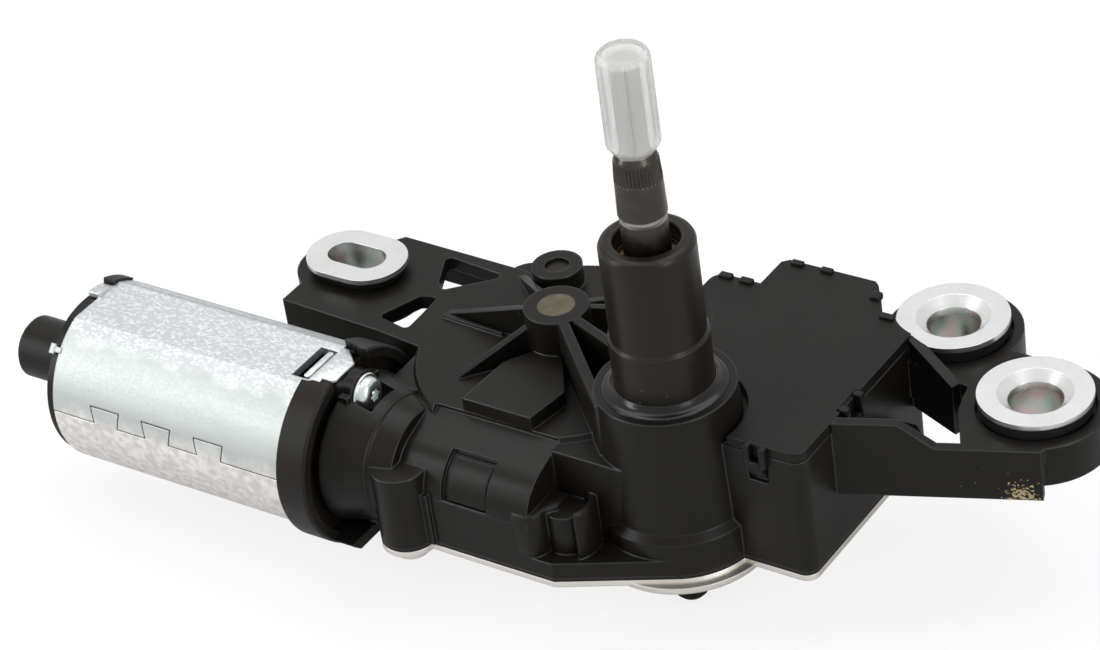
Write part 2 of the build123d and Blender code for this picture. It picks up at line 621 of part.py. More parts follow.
def seam_groove():
    """The rolled can's joint: a fine groove with three dovetails, on its front side."""
    low, high = (motor_z + rise for rise in seam_rise)
    points = [(yoke_rear - 1, low)]
    for i in (2, 1, 0):
        mid = yoke_front - 20.2 - 14.7 * i
        points += [(mid - 3.35, low), (mid - 4.05, high), (mid + 4.05, high), (mid + 3.35, low)]
    points.append((yoke_front + 1, low))
    groove = Part()
    for (xa, za), (xb, zb) in zip(points, points[1:]):
        run = hypot(xb - xa, zb - za) + 0.3
        turn = degrees(atan2(zb - za, xb - xa))
        strip = Rotation(0, -turn, 0) * Box(run, 8, 0.3)
        groove += Pos((xa + xb) / 2, motor_y - yoke_r, (za + zb) / 2) * strip
    return groove & (along_x(yoke_r + 1, yoke_rear - 2, yoke_front + 2) - along_x(
        yoke_r - 0.35, yoke_rear - 3, yoke_front + 3))


def yoke():
    shell = flatted(yoke_r, yoke_rear, yoke_front) - flatted(can_r, yoke_rear - 1, yoke_front + 1, can_flat)
    tongue = block(yoke_front - 2, yoke_front + 4.3, motor_y - 7.2, motor_y + 7.2, can_top - yoke_wall, can_top)
    shell += tongue.chamfer(3.2, None, tongue.edges().filter_by(Axis.Z).group_by(Axis.X)[-1])
    shell -= block(yoke_front - 5, yoke_front + 0.1, motor_y - 5.6, motor_y + 5.6,
                   can_top - yoke_wall - 1, can_top + 1)
    return shell - seam_groove()


def rear_cap():
    """Dished cap with the bearing boss; it closes the can and centres in it."""
    x = yoke_rear
    cap = turned([(x, 0), (x, yoke_r - 0.6), (x - 2.2, yoke_r - 0.6),
                  (x - 3.6, yoke_r - 2.4), (x - rear_flange, yoke_r - 4.6), (x - 9, rear_boss_r + 2),
                  (x - 9, rear_boss_r), (rear_boss_end + 0.8, rear_boss_r), (rear_boss_end, rear_boss_r - 0.8),
                  (rear_boss_end, 0)], yoke_flat - 0.6)
    cap += flatted(can_r - seat, x, x + 4, can_flat - seat)
    cap -= along_x(motor_bush_r + seat, rear_bush_x, x + 5)
    return cap - along_x(can_r - 4, x - 1, x + 5)


def bush(r_out, r_in, x0, x1):
    return along_x(r_out - seat, x0, x1) - along_x(r_in + running, x0 - 1, x1 + 1)


def magnets():
    ring = along_x(can_r - seat, yoke_rear + 6, yoke_front - 8.7) - along_x(
        magnet_r, yoke_rear + 5, yoke_front - 7.7)
    return ring & block(yoke_rear, yoke_front, motor_y - 30, motor_y + 30, motor_z - 11, motor_z + 11)


def brush_holder():
    """Plastic end shield: rim, bearing and screw eyes, with a foot under the housing's neck."""
    hub = commutator_r + 1.5
    rim = turned([(yoke_front, 0), (yoke_front, ring_r), (ring_front - 0.5, ring_r), (ring_front, ring_r - 0.5),
                  (ring_front, ring_r - 2.6), (ring_front - 2.6, ring_r - 2.9), (ring_front - 2.6, 0)])
    rim += flatted(can_r - seat, yoke_front - 3, yoke_front, can_flat - seat)
    rim += along_x(8.6, yoke_front, ring_front)
    rim -= along_x(motor_bush_r + seat, yoke_front - 4, ring_front + 1)
    rim -= along_x(hub, yoke_front - 4, yoke_front + 1)
    for sign in (1, -1):
        rim += along_x(4.6, yoke_front, ring_front - seat, z=motor_z + sign * screw_out)
    foot = along_x(ring_r - 0.3, ring_front - 3, flange_x + 3) & block(
        yoke_front - 3, flange_x + 8, motor_y - 17, motor_y - 6.5, motor_z - 17.3, cover_under - 0.3)
    rim += foot - along_x(neck_r0 + 0.1, ring_front, flange_x + 4)
    for sign in (1, -1):
        rim -= along_x(motor_screw_r + seat, yoke_front - 1, ring_front + 1, z=motor_z + sign * screw_out)
    return rim - block(yoke_front, yoke_front + 4.5, motor_y - 7.4, motor_y + 7.4,
                       can_top - yoke_wall - seat, can_top + 9)


def brushes():
    pair = Part()
    for sign in (1, -1):
        y0, y1 = sorted((motor_y + sign * (commutator_r + 0.1), motor_y + sign * (commutator_r + 6)))
        pair += block(yoke_front - 7.4, yoke_front - 3.02, y0, y1, motor_z - 2.5, motor_z + 2.5)
    return pair


def motor_screws():
    screws = Part()
    for sign in (1, -1):
        z = motor_z + sign * screw_out
        screws += along_x(motor_screw_r, yoke_front + 0.5, flange_x + seat, z=z)
        head = along_x(4.0, flange_x + seat, flange_x + 3, z=z)
        head = head.chamfer(1.0, None, head.edges().group_by(Axis.X)[-1])
        screws += head - along_x(1.6, flange_x + 1.6, flange_x + 4, z=z)
    return screws


def armature_shaft():
    """Shaft with the rolled worm at its front end."""
    shaft = along_x(motor_shaft_r, rear_bush_x + 1, shaft_tip_x)
    core = along_x(worm_pitch_r - 0.9, worm_x0 - 2, worm_x1 + 2)
    pitch = pi * wheel_module
    return shaft + core + worm_thread(pitch, (worm_x1 - worm_x0) / pitch)


def worm_thread(pitch, turns):
    root, tip = worm_pitch_r - 1.1, worm_pitch_r + 0.6
    path = Helix(pitch, pitch * turns, root)
    plane = Plane(origin=path @ 0, x_dir=(1, 0, 0), z_dir=path % 0)
    tooth = make_face(Polyline((0, -0.5), (tip - root, -0.3), (tip - root, 0.3), (0, 0.5), close=True))
    thread = sweep(plane * tooth, path=path, is_frenet=True)
    turn = Rotation(0, 90, 90 - 360 * worm_half / pitch)        # thread centred in the wheel's gap
    return Pos(worm_x0, motor_y, motor_z) * (turn * thread)


def armature_core():
    x0, x1 = core_x0, core_x1
    core = along_x(core_r, x0, x1) - along_x(motor_shaft_r + seat / 2, x0 - 1, x1 + 1)
    for i in range(8):
        slot = block(x0 - 1, x1 + 1, -1.1, 1.1, core_r - 4.7, core_r - 1.2)
        slot += block(x0 - 1, x1 + 1, -0.6, 0.6, core_r - 2.2, core_r + 2)
        core -= Pos(0, motor_y, motor_z) * (Rotation(45 * i, 0, 0) * slot)
    return core


def windings():
    coils = Part()
    for x0, x1 in ((core_x0 - 7, core_x0 - seat), (core_x1 + seat, core_x1 + 7)):
        coils += along_x(core_r - 1.6, x0, x1) - along_x(motor_shaft_r + 1, x0 - 1, x1 + 1)
    for i in range(8):
        bar = block(core_x0 - seat, core_x1 + seat, -1.0, 1.0, core_r - 4.6, core_r - 1.6)
        coils += Pos(0, motor_y, motor_z) * (Rotation(45 * i, 0, 0) * bar)
    return coils


def commutator():
    x0, x1 = core_x1 + 7.2, yoke_front - 2.0
    drum = along_x(commutator_r, x0, x1) - along_x(motor_shaft_r + seat / 2, x0 - 1, x1 + 1)
    for i in range(8):
        slit = block(x0 + 0.8, x1 + 1, -0.25, 0.25, commutator_r - 1.2, commutator_r + 1)
        drum -= Pos(0, motor_y, motor_z) * (Rotation(45 * i + 22.5, 0, 0) * slit)
    return drum


# ---------------------------------------------------------------- worm wheel, crank and rod
def worm_wheel():
    step = 360 / wheel_teeth
    wheel = toothed(wheel_pitch_r, wheel_module, wheel_teeth, -90 + step * mesh_phase, wheel_teeth,
                    wheel_width, tip=0.7, root=1.0, half=0.17)
    wheel = Pos(wheel_x, wheel_y, wheel_z) * wheel
    wheel -= rod_z_cyl(wheel_x, wheel_y, axle_r + running, wheel_z - 1, 0)
    wheel -= ring_z(wheel_x, wheel_y, wheel_pitch_r - 4.5, 11.0, wheel_z + 3.0, wheel_z + wheel_width + 1)
    for i in range(8):
        wheel += Pos(wheel_x, wheel_y, 0) * (Rotation(0, 0, 45 * i) * block(
            10.5, wheel_pitch_r - 4, -0.9, 0.9, wheel_z + 2, wheel_z + wheel_width - 0.6))
    return wheel - rod_z_cyl(*crank, crank_pin_r + seat / 2, wheel_z - 1, wheel_z + 5)


def wheel_pin():
    return rod_z_cyl(wheel_x, wheel_y, axle_r, wheel_z - 0.4, chamber_top - 4) + rod_z_cyl(
        wheel_x, wheel_y, wheel_pin_r, wheel_z + wheel_width + 0.6, boss_top)


def crank_pin():
    return rod_z_cyl(*crank, crank_pin_r, wheel_z - 0.5, wheel_z + 5)


def toothed_rod():
    """Connecting rod: eye at the crank, toothed sector round the pivot."""
    turn = degrees(atan2(pivot[1] - crank[1], pivot[0] - crank[0]))
    bar = Pos((crank[0] + pivot[0]) / 2, (crank[1] + pivot[1]) / 2, rod_z) * (
        Rotation(0, 0, turn) * extrude(Rectangle(rod_len, 7.0), rod_thick))
    bar += rod_z_cyl(*crank, 5.2, rod_z, rod_z + rod_thick)
    bar += rod_z_cyl(*pivot, 5.6, rod_z, rod_z + rod_thick)
    contact = degrees(atan2(-pivot[1], -pivot[0]))
    step = 360 / sector_teeth
    count = int(ceil(link_swing / step)) + 3
    sector = toothed(sector_r, gear_module, sector_teeth, contact - (count - 2) * step, count, rod_thick)
    bar += Pos(pivot[0], pivot[1], rod_z) * sector
    bar -= rod_z_cyl(*pivot, pivot_r + running, rod_z - 1, rod_z + rod_thick + 1)
    return bar - rod_z_cyl(*crank, crank_pin_r + running, rod_z - 1, rod_z + rod_thick + 1)


def link_plate():
    turn = degrees(atan2(pivot[1], pivot[0]))
    plate = Pos(pivot[0] / 2, pivot[1] / 2, link_z) * (
        Rotation(0, 0, turn) * extrude(SlotCenterToCenter(link_len, 11.0), link_thick))
    plate += rod_z_cyl(0, 0, shaft_r + 3.0, link_z, link_z + link_thick)
    plate -= rod_z_cyl(0, 0, shaft_r + running, link_z - 1, link_z + link_thick + 1)
    return plate - rod_z_cyl(*pivot, pivot_r + seat / 2, link_z - 1, link_z + link_thick + 1)


def pivot_pin():
    return rod_z_cyl(*pivot, pivot_r, link_z, rod_z + rod_thick + 0.5)


def output_pinion():
    turn = degrees(atan2(pivot[1], pivot[0]))
    step = 360 / pinion_teeth
    gear = toothed(pinion_r, gear_module, pinion_teeth, turn + step / 2, pinion_teeth, rod_thick)
    return Pos(0, 0, rod_z) * gear - rod_z_cyl(0, 0, shaft_r + seat / 2, rod_z - 1, rod_z + rod_thick + 1)


# ---------------------------------------------------------------- output shaft and tower
def output_shaft():
    shaft = upright([
        (0, shaft_bottom), (shaft_r, shaft_bottom), (shaft_r, groove_z - 0.6), (shaft_r - 0.5, groove_z - 0.3),
        (shaft_r - 0.5, groove_z + 0.5), (shaft_r + 0.2, groove_z + 1.0), (shaft_r, knurl_z),
        (shaft_r - 0.3, knurl_top), (thread_r + 0.1, knurl_top + shoulder_len),
        (thread_r + 0.1, knurl_top + shoulder_len + 0.6), (thread_r, knurl_top + shoulder_len + 0.8),
        (thread_r, shaft_top - 0.8), (thread_r - 0.8, shaft_top), (0, shaft_top)])
    return shaft - ring_z(0, 0, shaft_r + 1, shaft_r - 0.6, link_z - 1.6, link_z - 0.4)


def circlip():
    clip = ring_z(0, 0, shaft_r + 2.4, shaft_r - 0.58, link_z - 1.55, link_z - 0.45)
    return clip - block(0, 10, -2.4, 2.4, link_z - 3, link_z + 1)


def shaft_bushes():
    pair = ring_z(0, 0, bush_r, shaft_r + running, bush_low_top - bush_len, bush_low_top - seat)
    return pair + ring_z(0, 0, bush_r, shaft_r + running, bush_high_z + seat, bush_high_z + bush_len)


def tower_sleeve():
    bore = neck_r + seat
    shelf = tower_top - mouth_depth
    return upright([
        (bore, 0), (tower_foot_r, 0), (tower_foot_r, tower_step_z), (tower_r, tower_step_z + 0.4),
        (tower_r, tower_top - 1.2), (tower_r - 0.4, tower_top - 0.4), (tower_r - 1.2, tower_top),
        (opening_r + 0.4, tower_top), (opening_r, tower_top - 0.4), (opening_r, shelf), (bore, shelf)])


def foot_ring():
    """O-ring in the collar's groove, round the tower's foot."""
    r, mid, cut = ring_wire_r - seat, tower_foot_r + ring_wire_r, 0.45 * ring_wire_r
    corners = [(-cut, -r), (cut, -r), (r, -cut), (r, cut), (cut, r), (-cut, r), (-r, cut), (-r, -cut)]
    return Pos(0, 0, -ring_wire_r) * upright([(mid + a, b) for a, b in corners])


def shaft_plug():
    under = cover_under - bulge_depth
    return upright([
        (0, under - 11.2), (0.7, under - 11.2), (0.7, under - 10), (plug_r - 0.9, under - 10), (plug_r, under - 9),
        (plug_r, under - 1.2), (plug_r + 1.5, under - 1.2), (plug_r + 1.5, under - seat), (plug_r, under - seat),
        (plug_r, under + 1.4), (0, under + 1.4)])


def shaft_cap():
    """Push-on cap with flutes down its side."""
    cap = upright([(0, cap_z0), (cap_r - 1.1, cap_z0), (cap_r, cap_z0 + 1.2), (cap_r, cap_top - 0.8),
                   (cap_r - 0.8, cap_top), (0, cap_top)])
    for i in range(cap_flutes):
        flute = Pos(cap_r + 0.75, 0, 0) * (Rotation(0, 0, 45) * block(-0.9, 0.9, -0.9, 0.9, cap_z0 + 2.5, cap_top + 1))
        cap -= Rotation(0, 0, 360 / cap_flutes * i) * flute
    return cap - rod_z_cyl(0, 0, thread_r + running, cap_z0 - 1, shaft_top + 1.2)


# ---------------------------------------------------------------- mounting eyes
def round_eye(x, y):
    """A grommet and its sleeve, whose flange is rolled down into the bore."""
    top, under = washer_z, washer_z - washer_thick
    floor = plate_z - eye_recess
    low = floor - eye_plate - eye_below
    bore, tube, free = sleeve_r, sleeve_r + sleeve_wall, sleeve_r + sleeve_wall + seat
    rim = bore + dish
    grommet = upright([
        (free, low), (washer_r - 1.4, low), (washer_r - 1.4, floor - eye_plate - seat),
        (eye_hole_r - seat, floor - eye_plate - seat), (eye_hole_r - seat, floor + seat), (washer_r - 1.6, floor + seat),
        (washer_r - 1.6, floor + 1.7), (washer_r - 0.4, floor + 1.7), (washer_r - 0.4, under - seat),
        (rim + washer_thick, under - seat), (free, under - dish_depth)])
    sleeve = upright([
        (bore, low - 0.4), (tube, low - 0.4), (tube, under - dish_depth), (rim + washer_thick, under),
        (washer_r, under), (washer_r, top), (rim, top), (bore + 0.4, top - 0.8 * dish_depth), (bore, top - 1.4 * dish_depth)])
    return Pos(x, y, 0) * grommet, Pos(x, y, 0) * sleeve


def long_eye(x, y):
    """The slotted eye's grommet and sleeve, in flat layers."""
    def layer(r, z0, z1):
        return stadium(x, y, slot_half, r, z0, z1)

    under = washer_z - washer_thick
    low = plate_z - eye_plate - eye_below
    grommet = layer(long_washer_r - 0.4, plate_z + 1.7, under - seat) + layer(
        long_washer_r - 1.6, plate_z + seat, plate_z + 1.8)
    grommet += layer(long_hole_r - seat, plate_z - eye_plate - 1, plate_z + 1)
    grommet += layer(long_washer_r - 1.4, low, plate_z - eye_plate - seat)
    grommet -= layer(long_sleeve_r + sleeve_wall + seat, low - 1, under + 1)
    sleeve = layer(long_washer_r, under, washer_z) + layer(long_sleeve_r + sleeve_wall, low - 0.4, under + 0.2)
    return grommet, sleeve - layer(long_sleeve_r, low - 2, washer_z + 1)


def breather():
    return rod_z_cyl(*vent_at, vent_r - 3, vent_top - 2.4 + seat, vent_top - 0.8)


grommet_left, sleeve_left = long_eye(*left_eye)
grommet_front, sleeve_front = round_eye(*front_eye)
grommet_rear, sleeve_rear = round_eye(*rear_eye)

save(gear_housing(), "gear_housing")
save(cover_plate(), "cover_plate")
save(cover_gasket(), "cover_gasket")
save(cover_screws(), "cover_screws")
save(electronics_lid(), "electronics_lid")
save(circuit_board(), "circuit_board")
save(connector_pins(), "connector_pins")
save(yoke(), "yoke")
save(rear_cap(), "rear_cap")
save(bush(motor_bush_r, motor_shaft_r, rear_bush_x, rear_bush_x + motor_bush_len), "rear_bush")
save(bush(motor_bush_r, motor_shaft_r, yoke_front + 1.5, neck_x - 3), "front_bush")
save(magnets(), "magnets")
save(brush_holder(), "brush_holder")
save(brushes(), "brushes")
save(motor_screws(), "motor_screws")
save(armature_shaft(), "armature_shaft")
save(armature_core(), "armature_core")
save(windings(), "windings")
save(commutator(), "commutator")
save(worm_wheel(), "worm_wheel")
save(wheel_pin(), "wheel_pin")
save(crank_pin(), "crank_pin")
save(toothed_rod(), "toothed_rod")
save(link_plate(), "link_plate")
save(pivot_pin(), "pivot_pin")
save(output_pinion(), "output_pinion")
save(output_shaft(), "output_shaft")
save(circlip(), "circlip")
save(shaft_bushes(), "shaft_bushes")
save(tower_sleeve(), "tower_sleeve")
save(foot_ring(), "foot_ring")
save(shaft_plug(), "shaft_plug")
save(shaft_cap(), "shaft_cap")
save(breather(), "breather")
save(grommet_left, "grommet_left")
save(sleeve_left, "sleeve_left")
save(grommet_front + grommet_rear, "grommets_right")
save(sleeve_front + sleeve_rear, "sleeves_right")
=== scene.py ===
import math

import bmesh
import bpy
from mathutils import Matrix, Vector


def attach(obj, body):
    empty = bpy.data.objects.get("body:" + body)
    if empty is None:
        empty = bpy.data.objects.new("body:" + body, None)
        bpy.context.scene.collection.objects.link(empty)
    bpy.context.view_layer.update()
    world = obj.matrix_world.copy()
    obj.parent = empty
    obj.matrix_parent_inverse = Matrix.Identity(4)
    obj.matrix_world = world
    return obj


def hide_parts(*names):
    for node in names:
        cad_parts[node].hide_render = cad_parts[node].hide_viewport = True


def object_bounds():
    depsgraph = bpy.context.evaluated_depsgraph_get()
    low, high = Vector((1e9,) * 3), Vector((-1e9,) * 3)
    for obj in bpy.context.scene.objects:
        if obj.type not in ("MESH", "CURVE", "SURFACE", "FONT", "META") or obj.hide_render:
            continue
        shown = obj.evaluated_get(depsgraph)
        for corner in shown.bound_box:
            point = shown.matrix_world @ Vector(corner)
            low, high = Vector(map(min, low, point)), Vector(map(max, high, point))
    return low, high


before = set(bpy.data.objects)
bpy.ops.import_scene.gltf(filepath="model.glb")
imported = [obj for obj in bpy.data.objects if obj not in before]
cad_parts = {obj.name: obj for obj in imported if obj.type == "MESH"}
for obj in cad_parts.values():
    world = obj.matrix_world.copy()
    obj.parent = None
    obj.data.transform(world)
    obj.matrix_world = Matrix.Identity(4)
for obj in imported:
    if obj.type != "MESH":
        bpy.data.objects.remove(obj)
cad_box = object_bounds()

# ---------------------------------------------------------------- studio
# A pale table under soft boxes. The table is white to the eye, keeps the shadow, and gives
# the metal and the clear cap something pale to mirror.
scene = bpy.context.scene
scene.view_settings.view_transform = "Standard"

lens = bpy.data.cameras.new("studio_camera")
lens.sensor_fit = "HORIZONTAL"
lens.sensor_width = 36.0
lens.lens = 117.8
lens.clip_start = 0.05
lens.clip_end = 20.0
eye_place = Vector((0.3598, -0.4930, 0.4359))
eye_right = Vector((0.8297, 0.5443, -0.1243))
eye_up = Vector((-0.2266, 0.5318, 0.8160))
eye_back = eye_right.cross(eye_up)
camera = bpy.data.objects.new("studio_camera", lens)
turn = Matrix((eye_right, eye_up, eye_back)).transposed().to_4x4()
camera.matrix_world = Matrix.Translation(eye_place) @ turn
scene.collection.objects.link(camera)
scene.camera = camera


def soft_box(name, place, aim, width, height, power):
    """A rectangular lamp at place that faces aim."""
    lamp = bpy.data.lights.new(name, "AREA")
    lamp.shape = "RECTANGLE"
    lamp.size = width
    lamp.size_y = height
    lamp.energy = power
    holder = bpy.data.objects.new(name, lamp)
    holder.location = place
    holder.rotation_euler = (Vector(aim) - Vector(place)).to_track_quat("-Z", "Y").to_euler()
    scene.collection.objects.link(holder)


soft_box("box_above", (-0.15, 0.25, 0.95), (0, 0, 0), 1.1, 0.7, 5.5)
soft_box("box_left", (-0.75, -0.65, 0.45), (-0.02, 0, 0), 0.22, 0.8, 4.2)
soft_box("box_right", (0.95, -0.25, 0.40), (0, 0, 0), 0.30, 0.8, 3.5)

white = (1.0, 1.0, 1.0, 1.0)
fill_light = 0.42
glossy_share = 0.6
world = bpy.data.worlds.new("studio_world")
world.use_nodes = True
scene.world = world
sky_nodes = world.node_tree.nodes
sky_links = world.node_tree.links
sky_nodes.clear()
sky_out = sky_nodes.new("ShaderNodeOutputWorld")
sky_mix = sky_nodes.new("ShaderNodeMixShader")
sky_fill = sky_nodes.new("ShaderNodeBackground")
sky_fill.inputs["Color"].default_value = white
sky_fill.inputs["Strength"].default_value = fill_light
sky_seen = sky_nodes.new("ShaderNodeBackground")
sky_seen.inputs["Color"].default_value = white
sky_seen.inputs["Strength"].default_value = 1.0
sky_ray = sky_nodes.new("ShaderNodeLightPath")
sky_part = sky_nodes.new("ShaderNodeMath")
sky_part.operation = "MULTIPLY"
sky_part.inputs[1].default_value = glossy_share
sky_links.new(sky_ray.outputs["Is Glossy Ray"], sky_part.inputs[0])
sky_sum = sky_nodes.new("ShaderNodeMath")
sky_sum.operation = "MAXIMUM"
sky_links.new(sky_ray.outputs["Is Camera Ray"], sky_sum.inputs[0])
sky_links.new(sky_ray.outputs["Is Transmission Ray"], sky_sum.inputs[1])
sky_all = sky_nodes.new("ShaderNodeMath")
sky_all.operation = "MAXIMUM"
sky_links.new(sky_sum.outputs["Value"], sky_all.inputs[0])
sky_links.new(sky_part.outputs["Value"], sky_all.inputs[1])
sky_links.new(sky_all.outputs["Value"], sky_mix.inputs["Fac"])
sky_links.new(sky_fill.outputs["Background"], sky_mix.inputs[1])
sky_links.new(sky_seen.outputs["Background"], sky_mix.inputs[2])
sky_links.new(sky_mix.outputs["Shader"], sky_out.inputs["Surface"])

table_gap = 0.0005
table_level = cad_box[0][2] - table_gap
table_mesh = bpy.data.meshes.new("table_top")
table_bm = bmesh.new()
bmesh.ops.create_circle(table_bm, cap_ends=True, radius=4.0, segments=64)
table_bm.to_mesh(table_mesh)
table_bm.free()
table_top = bpy.data.objects.new("table_top", table_mesh)
table_top.location = (0.0, 0.0, table_level)
scene.collection.objects.link(table_top)

table_white = bpy.data.materials.new("table_white")
table_white.use_nodes = True
table_nodes = table_white.node_tree.nodes
table_links = table_white.node_tree.links
table_nodes.clear()
table_out = table_nodes.new("ShaderNodeOutputMaterial")
table_mix = table_nodes.new("ShaderNodeMixShader")
table_add = table_nodes.new("ShaderNodeAddShader")
table_ray = table_nodes.new("ShaderNodeLightPath")
lit_table = table_nodes.new("ShaderNodeBsdfDiffuse")
lit_table.inputs["Color"].default_value = (0.78, 0.78, 0.78, 1.0)
seen_table = table_nodes.new("ShaderNodeBsdfDiffuse")
seen_table.inputs["Color"].default_value = (0.24, 0.24, 0.24, 1.0)
table_glow = table_nodes.new("ShaderNodeEmission")
table_glow.inputs["Strength"].default_value = 0.80
table_links.new(seen_table.outputs["BSDF"], table_add.inputs[0])
table_links.new(table_glow.outputs["Emission"], table_add.inputs[1])
table_links.new(table_ray.outputs["Is Camera Ray"], table_mix.inputs["Fac"])
table_links.new(lit_table.outputs["BSDF"], table_mix.inputs[1])
table_links.new(table_add.outputs["Shader"], table_mix.inputs[2])
table_links.new(table_mix.outputs["Shader"], table_out.inputs["Surface"])
table_top.data.materials.append(table_white)


# ---------------------------------------------------------------- gear housing
# One glass-filled plastic moulding, satin black, with a fine spark-eroded grain, faint flow
# marks and a little pale dust. Its edges are slightly rounded, so they catch the light, and a
# paler highlight is painted along them.
def start_finish(name):
    """A new material, with its nodes, its links and its shader."""
    material = bpy.data.materials.new(name)
    material.use_nodes = True
    tree = material.node_tree
    return material, tree.nodes, tree.links, tree.nodes["Principled BSDF"]


def speckle(nodes, links, scale, detail=2.0, stretch=(1.0, 1.0, 1.0), kind="ShaderNodeTexNoise"):
    """A noise or cell texture laid on in the part's own metres."""
    where = nodes.new("ShaderNodeTexCoord")
    squeeze = nodes.new("ShaderNodeMapping")
    squeeze.inputs["Scale"].default_value = stretch
    texture = nodes.new(kind)
    texture.inputs["Scale"].default_value = scale
    if kind == "ShaderNodeTexNoise":
        texture.inputs["Detail"].default_value = detail
    links.new(where.outputs["Object"], squeeze.inputs["Vector"])
    links.new(squeeze.outputs["Vector"], texture.inputs["Vector"])
    return texture


def spread(nodes, links, source, low, high, to_low, to_high):
    """Maps one span of a value to another."""
    node = nodes.new("ShaderNodeMapRange")
    node.inputs["From Min"].default_value = low
    node.inputs["From Max"].default_value = high
    node.inputs["To Min"].default_value = to_low
    node.inputs["To Max"].default_value = to_high
    links.new(source, node.inputs["Value"])
    return node.outputs["Result"]


def worked(nodes, links, operation, first, second=0.0):
    """One sum on two values; either may be a plain number."""
    node = nodes.new("ShaderNodeMath")
    node.operation = operation
    for socket, value in zip(node.inputs, (first, second)):
        if isinstance(value, (int, float)):
            socket.default_value = value
        else:
            links.new(value, socket)
    return node.outputs["Value"]


def tinted(nodes, links, factor, first, second):
    """Mixes two colours by a value; 6, 7 and 2 are the mixer's colour sockets."""
    node = nodes.new("ShaderNodeMix")
    node.data_type = "RGBA"
    links.new(factor, node.inputs["Factor"])
    for socket, value in ((node.inputs[6], first), (node.inputs[7], second)):
        if isinstance(value, tuple):
            socket.default_value = (*value, 1.0)
        else:
            links.new(value, socket)
    return node.outputs[2]


def soft_edges(nodes, radius):
    """A normal that rounds the edges by radius."""
    rounded = nodes.new("ShaderNodeBevel")
    rounded.samples = 6
    rounded.inputs["Radius"].default_value = radius
    return rounded.outputs["Normal"]


def on_edges(nodes, links, rounded):
    """A mask that is 1 where a rounded normal leaves the flat one."""
    plain = nodes.new("ShaderNodeNewGeometry")
    dot = nodes.new("ShaderNodeVectorMath")
    dot.operation = "DOT_PRODUCT"
    links.new(rounded, dot.inputs[0])
    links.new(plain.outputs["True Normal"], dot.inputs[1])
    return spread(nodes, links, dot.outputs["Value"], 1.0, 0.75, 0.0, 1.0)


def bumped(nodes, links, heights, distance, strength, normal=None):
    """Raises the surface by a height value, on top of another normal."""
    node = nodes.new("ShaderNodeBump")
    node.inputs["Distance"].default_value = distance
    node.inputs["Strength"].default_value = strength
    links.new(heights, node.inputs["Height"])
    if normal is not None:
        links.new(normal, node.inputs["Normal"])
    return node.outputs["Normal"]


def axes(nodes, links):
    """The three coordinates of a point, in the part's own metres."""
    where = nodes.new("ShaderNodeTexCoord")
    split = nodes.new("ShaderNodeSeparateXYZ")
    links.new(where.outputs["Object"], split.inputs["Vector"])
    return split.outputs


def flecks(nodes, links, scale, size, rarity):
    """Small scattered specks: 1 on a speck, 0 elsewhere."""
    cells = speckle(nodes, links, scale, kind="ShaderNodeTexVoronoi")
    spot = spread(nodes, links, cells.outputs["Distance"], size, size * 0.5, 0.0, 1.0)
    patch = speckle(nodes, links, scale * 0.08, 3.0)
    rare = spread(nodes, links, patch.outputs["Fac"], rarity, rarity + 0.05, 0.0, 1.0)
    return worked(nodes, links, "MULTIPLY", spot, rare)


def moulded_black(name, dark, pale, gloss, grain, edge, dust=0.35, shine=0.19, scuff=None):
    """Moulded black: two near-black tones, roughness, grain size, edge radius, dust and shine, with
    a paler highlight painted on the edges.
    """
    painted_edge_highlight = (0.034, 0.032, 0.029)
    pale_dust = (0.30, 0.28, 0.25)
    dried_mud = (0.42, 0.33, 0.19)
    material, nodes, links, shader = start_finish(name)
    cloud = speckle(nodes, links, 55.0, 4.0)
    flow = speckle(nodes, links, 90.0, 3.0, (0.25, 1.0, 1.0))
    fine = speckle(nodes, links, 1.0 / grain, 2.0)
    tone = tinted(nodes, links, cloud.outputs["Fac"], dark, pale)
    rounded = soft_edges(nodes, edge)
    mask = on_edges(nodes, links, rounded)
    links.new(spread(nodes, links, mask, 0.0, 1.0, shine, shine + 0.45),
              shader.inputs["Specular IOR Level"])
    # a paler highlight is painted along the rounded edges, patchy along the flow noise
    edge_highlight_mask = worked(nodes, links, "MULTIPLY", mask,
                  spread(nodes, links, flow.outputs["Fac"], 0.38, 0.66, 0.10, 1.0))
    tone = tinted(nodes, links, edge_highlight_mask, tone, painted_edge_highlight)
    specks = worked(nodes, links, "MULTIPLY", flecks(nodes, links, 420.0, 0.10, 0.58), dust)
    tone = tinted(nodes, links, specks, tone, pale_dust)
    if scuff is not None:
        away = nodes.new("ShaderNodeVectorMath")
        away.operation = "DISTANCE"
        where = nodes.new("ShaderNodeTexCoord")
        links.new(where.outputs["Object"], away.inputs[0])
        away.inputs[1].default_value = scuff
        near = spread(nodes, links, away.outputs["Value"], 0.0075, 0.0015, -0.75, 0.08)
        grit = speckle(nodes, links, 1500.0, 4.0)
        crumbs = spread(nodes, links, grit.outputs["Fac"], 0.30, 0.70, 0.0, 1.0)
        dirt = worked(nodes, links, "GREATER_THAN", worked(nodes, links, "ADD", near, crumbs), 0.5)
        tone = tinted(nodes, links, dirt, tone, dried_mud)
    links.new(tone, shader.inputs["Base Color"])
    links.new(spread(nodes, links, flow.outputs["Fac"], 0.3, 0.7, gloss - 0.05, gloss + 0.07),
              shader.inputs["Roughness"])
    links.new(bumped(nodes, links, fine.outputs["Fac"], 0.00004, 0.35, rounded),
              shader.inputs["Normal"])
    return material


def finish(node, material):
    """Gives a piece from the frame its finish."""
    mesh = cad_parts[node].data
    mesh.materials.clear()
    mesh.materials.append(material)


mm = 0.001


